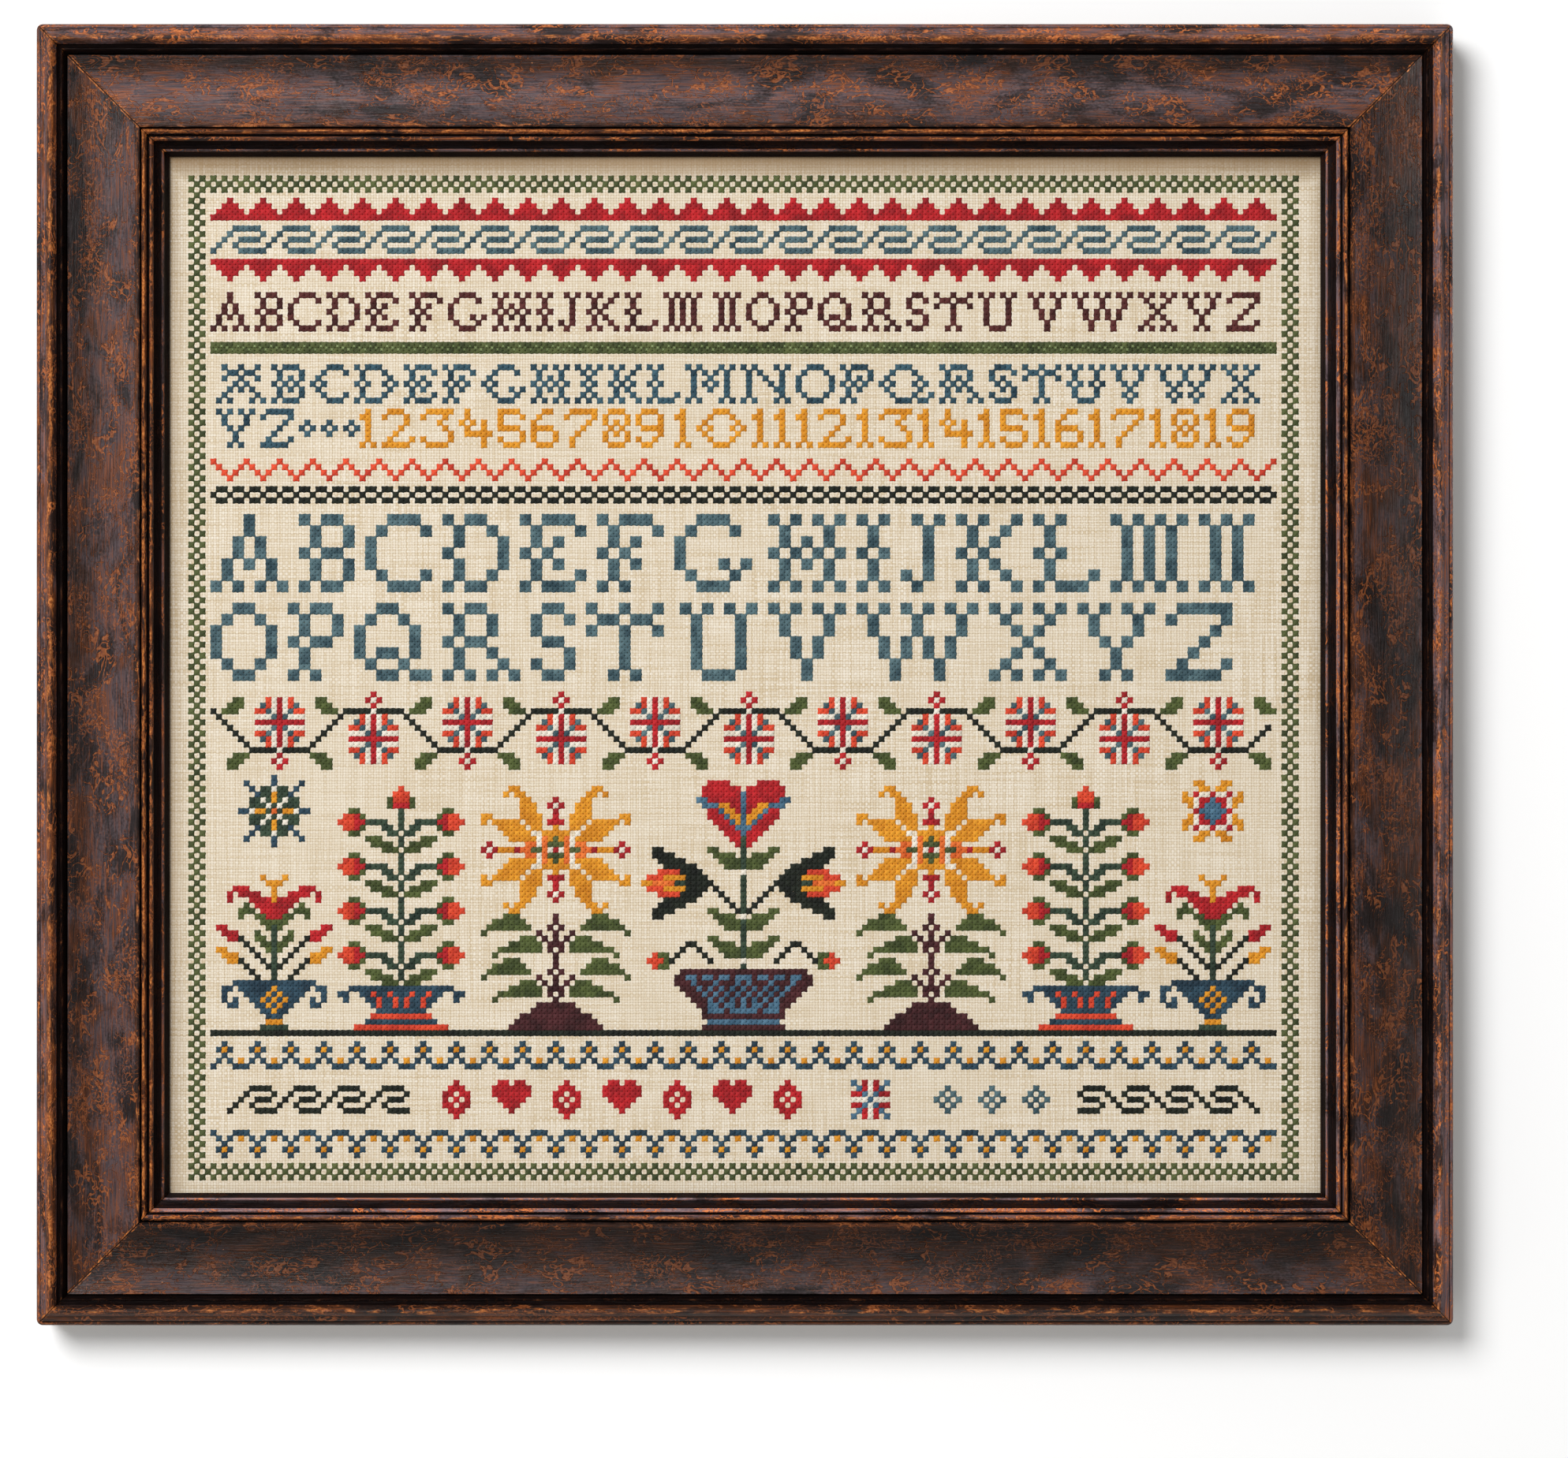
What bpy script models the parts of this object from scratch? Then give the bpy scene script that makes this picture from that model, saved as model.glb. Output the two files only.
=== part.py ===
"""A framed cross stitch sampler: stitched linen on a board, in a mitred and rebated wooden frame.

Metres, +Z up. The sampler faces -Y and its back lies in the plane Y = 0. The origin is the middle
of the top rail's back face, which is where the frame hangs on a wall.
"""

import math
from collections import namedtuple

import bmesh
import bpy
from mathutils import Matrix, Vector

MM = 0.001

# Driving dimensions
FRAME_WIDTH = 463.4 * MM
FRAME_HEIGHT = 425.8 * MM
REBATE_WIDTH = 6.5 * MM
REBATE_DEPTH = 12.6 * MM
CORNER_RADIUS = 2.0 * MM
CORNER_STEPS = 5
FIT_GAP = 0.3 * MM
LINEN_THICKNESS = 1.2 * MM
BOARD_THICKNESS = 3.0 * MM

# The moulding's face, one row for each member from the outer edge to the sight edge. Sizes are in
# millimetres: start and end are heights above the back, and crown is how far the member's middle
# rises above the straight line between them, or sinks below it.
Member = namedtuple("Member", "name width start end crown steps")
MOULDING = (
    Member("outer rim", 1.3, 18.4, 19.7, 0.6, 4),
    Member("rim groove", 0.4, 18.8, 18.8, 0.0, 1),
    Member("fillet", 1.8, 21.0, 22.4, 0.3, 3),
    Member("main bead", 3.8, 22.9, 23.6, 2.7, 10),
    Member("bead fall", 1.0, 23.2, 21.9, -0.2, 2),
    Member("small reed", 0.9, 21.9, 21.5, 0.6, 4),
    Member("reed fall", 0.7, 21.1, 19.2, -0.2, 2),
    Member("outer quirk", 0.5, 18.5, 18.5, 0.0, 1),
    Member("hollow panel", 23.5, 20.1, 19.9, -2.5, 14),
    Member("inner quirk", 0.6, 17.2, 17.2, 0.0, 1),
    Member("raised reed", 1.7, 20.2, 20.2, 1.4, 6),
    Member("reed groove", 0.8, 18.8, 18.8, 0.0, 1),
    Member("second reed", 1.1, 19.7, 19.4, 0.7, 4),
    Member("inner cove", 3.2, 18.8, 15.6, -0.7, 5),
    Member("sight lip", 1.4, 15.5, 15.0, 0.9, 5),
)
RAIL_WIDTH = sum(member.width for member in MOULDING) * MM
SIGHT_WIDTH = FRAME_WIDTH - 2 * RAIL_WIDTH
SIGHT_HEIGHT = FRAME_HEIGHT - 2 * RAIL_WIDTH
FRAME_CENTRE_Z = RAIL_WIDTH / 2 - FRAME_HEIGHT / 2

Finish = namedtuple("Finish", "colour roughness")
RAIL_WOOD = Finish((0.075, 0.038, 0.026), 0.42)
LINEN = Finish((0.80, 0.72, 0.58), 0.92)
BOARD = Finish((0.33, 0.22, 0.13), 0.80)


def clear_scene():
    for item in list(bpy.data.objects):
        bpy.data.objects.remove(item, do_unlink=True)


def new_collection(name):
    collection = bpy.data.collections.new(name)
    bpy.context.scene.collection.children.link(collection)
    return collection


def new_material(name, finish):
    material = bpy.data.materials.new(name)
    material.use_nodes = True
    shader = material.node_tree.nodes["Principled BSDF"]
    shader.inputs["Base Color"].default_value = (*finish.colour, 1.0)
    shader.inputs["Roughness"].default_value = finish.roughness
    shader.inputs["Metallic"].default_value = 0.0
    return material


def new_object(name, data, collection, material=None):
    item = bpy.data.objects.new(name, data)
    collection.objects.link(item)
    if material:
        item.data.materials.append(material)
    return item


def moulding_section():
    """The rail's closed section as (distance in from the outer edge, height above the back)."""
    section = [(0.0, 0.0)]
    edge = 0.0
    for member in MOULDING:
        for step in range(member.steps + 1):
            share = step / member.steps
            line = member.start + (member.end - member.start) * share
            height = line + member.crown * math.sin(math.pi * share)
            section.append(((edge + member.width * share) * MM, height * MM))
        edge += member.width
    section.append((RAIL_WIDTH, REBATE_DEPTH))
    section.append((RAIL_WIDTH - REBATE_WIDTH, REBATE_DEPTH))
    section.append((RAIL_WIDTH - REBATE_WIDTH, 0.0))
    return section


def flat_outline(name, points, thickness, collection):
    """A filled outline of the given (x, y) points, as thick as asked about its own plane."""
    curve = bpy.data.curves.new(name, "CURVE")
    curve.dimensions = "2D"
    curve.fill_mode = "BOTH"
    curve.extrude = thickness / 2
    spline = curve.splines.new("POLY")
    spline.points.add(len(points) - 1)
    for point, (x, y) in zip(spline.points, points):
        point.co = (x, y, 0.0, 1.0)
    spline.use_cyclic_u = True
    return new_object(name, curve, collection)


def curve_to_mesh(curve_object, placement):
    """A closed mesh of a curve object, moved by the placement. The curve is removed."""
    evaluated = curve_object.evaluated_get(bpy.context.evaluated_depsgraph_get())
    mesh = bpy.data.meshes.new_from_object(evaluated)
    bpy.data.objects.remove(curve_object, do_unlink=True)
    solid = bmesh.new()
    solid.from_mesh(mesh)
    bmesh.ops.remove_doubles(solid, verts=solid.verts, dist=0.01 * MM)
    bmesh.ops.transform(solid, matrix=placement, verts=solid.verts)
    bmesh.ops.recalc_face_normals(solid, faces=solid.faces)
    solid.to_mesh(mesh)
    solid.free()
    return mesh


def cut_mitre(mesh, length, side):
    """Saws one end of a rail at 45 degrees, leaving half a joint's gap to its neighbour."""
    solid = bmesh.new()
    solid.from_mesh(mesh)
    outward = Vector((side, 0.0, -1.0)).normalized()
    corner = Vector((side * length / 2, 0.0, 0.0))
    cut = bmesh.ops.bisect_plane(
        solid,
        geom=solid.verts[:] + solid.edges[:] + solid.faces[:],
        plane_co=corner - outward * FIT_GAP / 2,
        plane_no=outward,
        clear_outer=True,
    )
    rim = [piece for piece in cut["geom_cut"] if isinstance(piece, bmesh.types.BMEdge)]
    bmesh.ops.edgeloop_fill(solid, edges=rim)
    bmesh.ops.recalc_face_normals(solid, faces=solid.faces)
    solid.to_mesh(mesh)
    solid.free()


def make_rail(name, length, turn, holder, material, collection, rounding):
    """One length of moulding with its outer edge up, then turned about Y to its side of the frame."""
    section = flat_outline(f"{name}_section", moulding_section(), length, collection)
    # The section's x runs down from the outer edge, its y runs forward, and its depth runs along X.
    along_x = Matrix(((0, 0, 1, 0), (0, -1, 0, 0), (-1, 0, 0, 0), (0, 0, 0, 1)))
    mesh = curve_to_mesh(section, along_x)
    for side in (-1, 1):
        cut_mitre(mesh, length, side)
    rail = new_object(name, mesh, collection, material)
    rail.parent = holder
    rail.rotation_euler = (0.0, turn, 0.0)
    across = FRAME_HEIGHT if length == FRAME_WIDTH else FRAME_WIDTH
    rail.location = (math.sin(turn) * across / 2, 0.0, math.cos(turn) * across / 2)
    corners = rail.modifiers.new("rounded corners", "BOOLEAN")
    corners.operation = "INTERSECT"
    corners.object = rounding
    return rail


def make_rounding(holder, collection):
    """The frame's outline with its corners eased, which the four rails are cut to."""
    points = []
    for quarter in range(4):
        sign_x = 1 if quarter in (0, 3) else -1
        sign_z = 1 if quarter in (0, 1) else -1
        centre_x = sign_x * (FRAME_WIDTH / 2 - CORNER_RADIUS)
        centre_z = sign_z * (FRAME_HEIGHT / 2 - CORNER_RADIUS)
        for step in range(CORNER_STEPS + 1):
            angle = (quarter + step / CORNER_STEPS) * math.pi / 2
            points.append(
                (
                    centre_x + CORNER_RADIUS * math.cos(angle),
                    centre_z + CORNER_RADIUS * math.sin(angle),
                )
            )
    depth = 4 * REBATE_DEPTH
    outline = flat_outline("corner_rounding", points, 2 * depth, collection)
    upright = Matrix.Rotation(math.pi / 2, 4, "X")
    rounding = new_object("corner_rounding_cutter", curve_to_mesh(outline, upright), collection)
    rounding.parent = holder
    rounding.hide_render = True
    rounding.display_type = "WIRE"
    return rounding


def make_sheet(name, width, height, thickness, front, holder, material, collection):
    """A flat panel whose front face stands at the given height above the frame's back."""
    mesh = bpy.data.meshes.new(name)
    solid = bmesh.new()
    bmesh.ops.create_cube(solid, size=1.0)
    bmesh.ops.scale(solid, vec=(width, thickness, height), verts=solid.verts)
    solid.to_mesh(mesh)
    solid.free()
    panel = new_object(name, mesh, collection, material)
    panel.parent = holder
    panel.location = (0.0, thickness / 2 - front, 0.0)
    return panel


def main():
    clear_scene()
    parts = new_collection("framed_cross_stitch_sampler")
    cutters = new_collection("cutters")

    centre = bpy.data.objects.new("frame_centre", None)
    parts.objects.link(centre)
    centre.location = (0.0, 0.0, FRAME_CENTRE_Z)

    rounding = make_rounding(centre, cutters)
    wood = new_material("frame_wood", RAIL_WOOD)
    sides = (
        ("rail_top", FRAME_WIDTH, 0.0),
        ("rail_right", FRAME_HEIGHT, math.pi / 2),
        ("rail_bottom", FRAME_WIDTH, math.pi),
        ("rail_left", FRAME_HEIGHT, -math.pi / 2),
    )
    for name, length, turn in sides:
        make_rail(name, length, turn, centre, wood, parts, rounding)

    opening_width = SIGHT_WIDTH + 2 * REBATE_WIDTH - 2 * FIT_GAP
    opening_height = SIGHT_HEIGHT + 2 * REBATE_WIDTH - 2 * FIT_GAP
    linen_front = REBATE_DEPTH - FIT_GAP
    board_front = linen_front - LINEN_THICKNESS - FIT_GAP
    make_sheet(
        "sampler_linen", opening_width, opening_height, LINEN_THICKNESS, linen_front,
        centre, new_material("linen", LINEN), parts,
    )
    make_sheet(
        "backing_board", opening_width, opening_height, BOARD_THICKNESS, board_front,
        centre, new_material("board", BOARD), parts,
    )


main()
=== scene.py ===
# %% [markdown]
# # A framed cross stitch sampler
# A sampler is a piece of linen on which a stitcher works alphabets, borders and flowers in cross
# stitch. This one lies flat on a board in a wooden frame with mitred corners. The plain solids of
# the object are loaded first and never moved. The lesson then dresses them: it carves and wears the
# moulding, weaves the linen, and works about twelve thousand stitches, one cotton at a time.

# %% Load the frame
import math
from collections import defaultdict, namedtuple

import bmesh
import bpy
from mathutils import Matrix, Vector, noise


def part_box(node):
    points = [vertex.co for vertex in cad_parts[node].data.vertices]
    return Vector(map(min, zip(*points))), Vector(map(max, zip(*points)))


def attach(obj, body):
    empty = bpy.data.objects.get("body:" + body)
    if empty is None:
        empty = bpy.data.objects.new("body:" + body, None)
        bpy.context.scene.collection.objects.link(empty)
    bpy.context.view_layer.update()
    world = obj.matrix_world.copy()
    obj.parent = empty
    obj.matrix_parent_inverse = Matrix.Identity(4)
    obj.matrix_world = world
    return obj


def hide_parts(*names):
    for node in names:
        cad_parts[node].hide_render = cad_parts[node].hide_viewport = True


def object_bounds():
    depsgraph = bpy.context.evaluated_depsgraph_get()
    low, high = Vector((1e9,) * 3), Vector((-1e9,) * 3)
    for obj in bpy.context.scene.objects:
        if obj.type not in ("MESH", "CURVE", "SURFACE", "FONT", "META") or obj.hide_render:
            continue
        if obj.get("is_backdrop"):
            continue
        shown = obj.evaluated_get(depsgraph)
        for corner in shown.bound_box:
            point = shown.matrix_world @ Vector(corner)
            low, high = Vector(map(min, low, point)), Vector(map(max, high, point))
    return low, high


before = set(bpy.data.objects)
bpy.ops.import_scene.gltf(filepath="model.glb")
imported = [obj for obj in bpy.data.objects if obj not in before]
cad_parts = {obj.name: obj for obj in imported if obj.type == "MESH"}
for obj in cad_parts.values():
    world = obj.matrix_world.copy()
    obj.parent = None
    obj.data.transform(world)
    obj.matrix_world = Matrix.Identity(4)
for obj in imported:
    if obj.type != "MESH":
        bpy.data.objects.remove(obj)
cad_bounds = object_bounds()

MM = 0.001
SCENE = bpy.context.scene
print("nodes:", sorted(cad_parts))

# %% [markdown]
# ## Sizes
# The sizes here come from the solids' boxes, so the looks fit the construction.
# The frame's outline comes from the four rails, and the cloth's place from the linen slab.

# %% Sizes from the solids
frame_low, frame_high = cad_bounds
FRAME_WIDTH = frame_high.x - frame_low.x
FRAME_HEIGHT = frame_high.z - frame_low.z
CENTRE = Vector(((frame_low.x + frame_high.x) / 2, 0.0, (frame_low.z + frame_high.z) / 2))
linen_low, linen_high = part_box("sampler_linen")
board_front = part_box("backing_board")[0].y
JOINT_GAP = board_front - linen_high.y
print(f"frame {FRAME_WIDTH / MM:.1f} x {FRAME_HEIGHT / MM:.1f} mm, joints {JOINT_GAP / MM:.2f} mm")

# %% [markdown]
# ## Camera
# The picture is taken square on, from far enough back that the frame's sides hardly show. The
# camera's distance follows from the lens and from how many millimetres the picture spans. The
# frame hangs a little up and left of the picture's middle, so the camera stands a little low and
# to the right of it, and looks straight ahead.

# %% Camera
PICTURE_SPAN = 513.1 * MM
# The span is taken where most of the moulding's face lies, at this share of the frame's depth.
SPAN_DEPTH = 0.7
LENS_MM = 100.0
SENSOR_MM = 36.0
AIM_RIGHT = 12.8 * MM
AIM_DOWN = 17.8 * MM

eye = bpy.data.objects.new("camera", bpy.data.cameras.new("camera"))
SCENE.collection.objects.link(eye)
eye.data.lens = LENS_MM
eye.data.sensor_width = SENSOR_MM
eye.rotation_euler = (math.pi / 2, 0.0, 0.0)
eye_distance = PICTURE_SPAN * LENS_MM / SENSOR_MM
eye.location = (CENTRE.x + AIM_RIGHT, frame_low.y * SPAN_DEPTH - eye_distance, CENTRE.z - AIM_DOWN)
SCENE.camera = eye
print(f"camera {eye_distance:.3f} m in front")

# %% [markdown]
# ## Helpers
# Colours are given as sRGB hex values, and Blender's shaders want linear light, so one
# function converts them. A second function adds a node: each of its inputs is given a value, a
# socket to link from, or a node, whose first enabled output is linked.

# %% Helpers
NOISE = "ShaderNodeTexNoise"
MATH = "ShaderNodeMath"
VECTOR_MATH = "ShaderNodeVectorMath"
MIX = "ShaderNodeMix"
RANGE = "ShaderNodeMapRange"


def linear(hex_colour):
    """Linear RGBA of an sRGB hex colour."""
    shares = [int(hex_colour[start:start + 2], 16) / 255 for start in (0, 2, 4)]
    return (*(c / 12.92 if c <= 0.04045 else ((c + 0.055) / 1.055) ** 2.4 for c in shares), 1.0)


def add(tree, kind, inputs=None, **settings):
    """Adds a node with its settings, and its inputs' values or links."""
    node = tree.nodes.new(kind)
    for name, value in settings.items():
        setattr(node, name, value)
    for key, value in (inputs or {}).items():
        if isinstance(value, bpy.types.Node):
            value = next(socket for socket in value.outputs if socket.enabled)
        if isinstance(value, bpy.types.NodeSocket):
            tree.links.new(value, node.inputs[key])
        else:
            node.inputs[key].default_value = value
    return node


def new_material(name):
    """An empty Principled material, as (material, node tree, shader)."""
    material = bpy.data.materials.new(name)
    material.use_nodes = True
    return material, material.node_tree, material.node_tree.nodes["Principled BSDF"]


def new_piece(name, mesh, material):
    """A mesh as an object at the origin, with its material."""
    piece = bpy.data.objects.new(name, mesh)
    SCENE.collection.objects.link(piece)
    mesh.materials.append(material)
    return piece


print("an orange of the glaze in linear light:", [round(share, 3) for share in linear("b8642e")])

# %% [markdown]
# ## Colour in layers
# Old wood, cloth and dyed thread all get their colour in layers: a ground, then wear, dust and
# stains over parts of it. So every finish below is a table. A field is a value that changes over
# the surface. A layer shows where its weighted sum of fields lies between a low and a high value,
# and its own colour runs from a dark to a light shade by one more field, its tone.

# %% A table of layers becomes a colour
Layer = namedtuple("Layer", "fields low high share dark light tone")
# Noise seldom leaves this range, so a tone runs from dark to light across it.
TONE_LOW = 0.34
TONE_HIGH = 0.66


def lay_colours(tree, fields, colour, layers):
    """Lays the layers over a colour in turn. Gives back the new colour and the layers' masks."""
    masks = {}
    for name, layer in layers.items():
        total = 0.0
        for field, weight in layer.fields.items():
            total = add(tree, MATH, {0: fields[field], 1: weight, 2: total}, operation="MULTIPLY_ADD")
        masks[name] = add(
            tree, RANGE,
            {"Value": total, "From Min": layer.low, "From Max": layer.high, "To Max": layer.share},
            interpolation_type="SMOOTHSTEP",
        )
        tone = add(tree, RANGE, {"Value": fields[layer.tone], "From Min": TONE_LOW, "From Max": TONE_HIGH})
        shade = add(tree, MIX, {0: tone, 6: linear(layer.dark), 7: linear(layer.light)}, data_type="RGBA")
        colour = add(tree, MIX, {0: masks[name], 6: colour, 7: shade}, data_type="RGBA")
    return colour, masks


print("a layer has", ", ".join(Layer._fields))

# %% [markdown]
# ## The frame's finish
# The frame is pine under a dark glaze that was rubbed back: brown where it is rubbed thin, and
# burnt orange where it is scratched or the edges are worn through. The near black in the grooves and
# on faces turned from the light is painted shade, and the violet grey on the flats is a painted
# sheen. A photograph of wood could be laid on it, but a picture stretches on a carved surface. Here
# noise textures read the rail's own map, which runs along and across it, so streaks follow each rail
# and turn at the mitres. Attributes on the mesh say where the wood is worn or bare, where painted
# shade darkens it or a joint is dark, how warm the rail is and how light its glaze is painted, which
# paints light and shade on each rail as well as the glaze's tone. A scratch that curls is a level
# line of a noise texture: where the noise is close to one half. The closer it must be, the thinner
# the line.

# %% The patterns and layers of the glaze, sized in millimetres along and across the rail
# The values that each point of a rail carries for its finish. The second marks painted shade and
# dark joints, and the last how light the glaze is painted, which paints light and shade too.
LOOKS = ("wear", "soot", "bare", "warmth", "depth")
Pattern = namedtuple("Pattern", "along across detail distortion")
GLAZE_PATTERNS = {
    "grain": Pattern(9.0, 0.55, 6.0, 0.8),
    "patches": Pattern(30.0, 13.0, 4.0, 0.9),
    "painted_sheen": Pattern(15.0, 7.0, 6.0, 1.2),
    "clouds": Pattern(13.0, 8.0, 1.0, 0.4),
    "curls": Pattern(6.5, 4.0, 1.5, 1.8),
    "hooks": Pattern(3.2, 2.2, 1.0, 1.4),
    "dashes": Pattern(6.0, 1.6, 5.0, 0.5),
    "specks": Pattern(1.0, 0.7, 3.0, 0.0),
    "dents": Pattern(24.0, 11.0, 2.0, 0.0),
}
GLAZE_LAYERS = {
    # The violet grey is a painted sheen, laid most where the glaze is painted lightest and kept off the
    # wear.
    "painted_sheen": Layer(
        {"painted_sheen": 1.0, "specks": 0.25, "depth": 0.60, "wear": -1.2}, 0.76, 1.12, 1.0,
        "423439", "766569", "grain"),
    "black": Layer({"patches": 1.0, "specks": 0.3}, 0.72, 0.52, 0.90, "140c0b", "241817", "grain"),
    "rubbed": Layer(
        {"patches": 0.9, "grain": 1.0, "warmth": 0.05}, 0.94, 1.20, 0.85, "30160b", "8c4a22", "grain"),
    "curls": Layer({"curls": 1.0, "clouds": -0.22}, -0.086, -0.106, 0.80, "834020", "c6733a", "specks"),
    "hooks": Layer({"hooks": 1.0, "dents": -0.25}, -0.109, -0.134, 0.75, "7a3c1c", "bd6c38", "specks"),
}
WEAR_LAYERS = {
    "flecks": Layer({"specks": 1.0, "patches": 0.25}, 0.86, 0.93, 0.9, "b2602a", "ee9850", "grain"),
    "dashes": Layer(
        {"wear": 0.9, "dashes": 1.0, "warmth": 0.06}, 0.94, 1.16, 1.0, "7c3811", "dc8844", "specks"),
    # Painted shade: near black in the grooves and on faces turned from the light, and a dark joint at the
    # mitres.
    "shade_and_joint_layer": Layer({"soot": 1.0, "dashes": -0.6}, 0.05, 0.45, 0.97, "0a0606", "140c0b", "grain"),
    "pine": Layer({"bare": 1.0}, 0.0, 1.0, 1.0, "b48a5c", "d8b98a", "grain"),
}
print(len(GLAZE_PATTERNS), "patterns feed", len(GLAZE_LAYERS) + len(WEAR_LAYERS), "layers of glaze")

# %% The glazed and worn pine
def glaze_fields(tree):
    """The patterns as noise on the rail's map, and the values that the rail's points carry."""
    place = add(tree, "ShaderNodeUVMap", uv_map="rail_map")
    fields = {}
    for name, size in GLAZE_PATTERNS.items():
        scale = (1 / (size.along * MM), 1 / (size.across * MM), 1.0)
        spot = add(tree, "ShaderNodeMapping", {"Vector": place, "Scale": scale})
        fields[name] = add(
            tree, NOISE,
            {"Vector": spot, "Scale": 1.0, "Detail": size.detail, "Distortion": size.distortion},
        )
    for name in ("curls", "hooks"):
        off_middle = add(tree, MATH, {0: fields[name], 1: 0.5}, operation="SUBTRACT")
        fields[name] = add(tree, MATH, {0: off_middle}, operation="ABSOLUTE")
    for name in LOOKS:
        fields[name] = add(tree, "ShaderNodeAttribute", attribute_name=name).outputs["Fac"]
    return fields


def glazed_pine():
    """Pine under rubbed dark glaze: satin, mottled, with orange wood showing through, a painted sheen on the
    flats and painted shade in the grooves.
    """
    material, tree, shader = new_material("rubbed_glaze_on_pine")
    fields = glaze_fields(tree)
    colour, glazed = lay_colours(tree, fields, linear("47291a"), GLAZE_LAYERS)
    # The glaze is multiplied by how light each point's glaze is painted: painted light and shade on each
    # rail and across it, as well as the glaze's tone.
    colour = add(tree, MIX, {0: 1.0, 6: colour, 7: fields["depth"]}, data_type="RGBA", blend_type="MULTIPLY")
    colour, worn = lay_colours(tree, fields, colour, WEAR_LAYERS)
    tree.links.new(colour.outputs[2], shader.inputs["Base Color"])

    rough = add(
        tree, RANGE,
        {"Value": fields["painted_sheen"], "From Min": 0.3, "From Max": 0.7, "To Min": 0.34, "To Max": 0.58},
    )
    rough = add(tree, MATH, {0: worn["pine"], 1: 0.3, 2: rough}, operation="MULTIPLY_ADD")
    tree.links.new(rough.outputs[0], shader.inputs["Roughness"])
    gloss = add(tree, MATH, {0: worn["shade_and_joint_layer"], 1: -0.20, 2: 0.24}, operation="MULTIPLY_ADD")
    tree.links.new(gloss.outputs[0], shader.inputs["Specular IOR Level"])
    height = add(tree, MATH, {0: fields["dents"], 1: 1.5, 2: fields["grain"]}, operation="MULTIPLY_ADD")
    height = add(tree, MATH, {0: glazed["curls"], 1: -0.9, 2: height}, operation="MULTIPLY_ADD")
    bump = add(tree, "ShaderNodeBump", {"Height": height, "Strength": 0.90, "Distance": 0.35 * MM})
    tree.links.new(bump.outputs[0], shader.inputs["Normal"])
    shader.inputs["IOR"].default_value = 1.5
    return material


RAIL_FINISH = glazed_pine()
print("finish:", RAIL_FINISH.name, len(RAIL_FINISH.node_tree.nodes), "nodes")

# %% [markdown]
# ## The moulding
# A moulding is planed or milled as one long section, so a table of its members describes all four
# rails: each row is a reed, bead, hollow or groove, with its width, its heights and its crown. Two
# more columns say how much each crown is worn and how much painted shade darkens the member, most
# in the grooves and on the faces turned from the light. The section is swept along each side, sawn
# at 45 degrees, and given small dents, so no edge is machine straight.
# A curve with a bevel object could sweep it too, but a mesh lets each point carry its own wear.

# %% The moulding's members, in millimetres from the outer edge to the sight edge
Member = namedtuple("Member", "name width start end crown steps wear soot")
MOULDING = (
    Member("outer rim", 1.3, 18.4, 19.7, 0.6, 6, 0.45, 0.10),
    Member("rim groove", 0.4, 18.8, 18.8, 0.0, 1, 0.10, 0.90),
    Member("fillet", 1.8, 21.0, 22.4, 0.3, 4, 0.42, 0.25),
    Member("main bead", 3.8, 22.9, 23.6, 2.7, 16, 0.53, 0.05),
    Member("bead fall", 1.0, 23.2, 21.9, -0.2, 3, 0.10, 0.95),
    Member("small reed", 0.9, 21.9, 21.5, 0.6, 6, 0.38, 0.70),
    Member("reed fall", 0.7, 21.1, 19.2, -0.2, 3, 0.05, 1.00),
    Member("outer quirk", 0.5, 18.5, 18.5, 0.0, 1, 0.00, 1.00),
    Member("hollow panel", 23.5, 20.1, 19.9, -2.5, 24, 0.00, 0.00),
    Member("inner quirk", 0.6, 17.2, 17.2, 0.0, 1, 0.00, 1.00),
    Member("raised reed", 1.7, 20.2, 20.2, 1.4, 10, 0.60, 0.00),
    Member("reed groove", 0.8, 18.8, 18.8, 0.0, 1, 0.00, 1.00),
    Member("second reed", 1.3, 19.7, 19.2, 0.7, 7, 0.53, 0.10),
    Member("inner cove", 2.2, 18.6, 15.9, -0.6, 6, 0.00, 1.00),
    Member("lip crest", 0.9, 15.9, 16.1, 0.5, 5, 0.24, 0.05),
    Member("lip fall", 1.3, 15.6, 13.2, -0.3, 4, 0.00, 1.00),
)
RAIL_WIDTH = sum(member.width for member in MOULDING) * MM
REBATE_WIDTH = 6.5 * MM
REBATE_DEPTH = 12.6 * MM
SIGHT_WIDTH = FRAME_WIDTH - 2 * RAIL_WIDTH
SIGHT_HEIGHT = FRAME_HEIGHT - 2 * RAIL_WIDTH

PANEL_EDGE_WEAR = 0.42
PANEL_WORN_FROM = 0.92
SectionPoint = namedtuple("SectionPoint", "inset height wear soot bare around")


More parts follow.
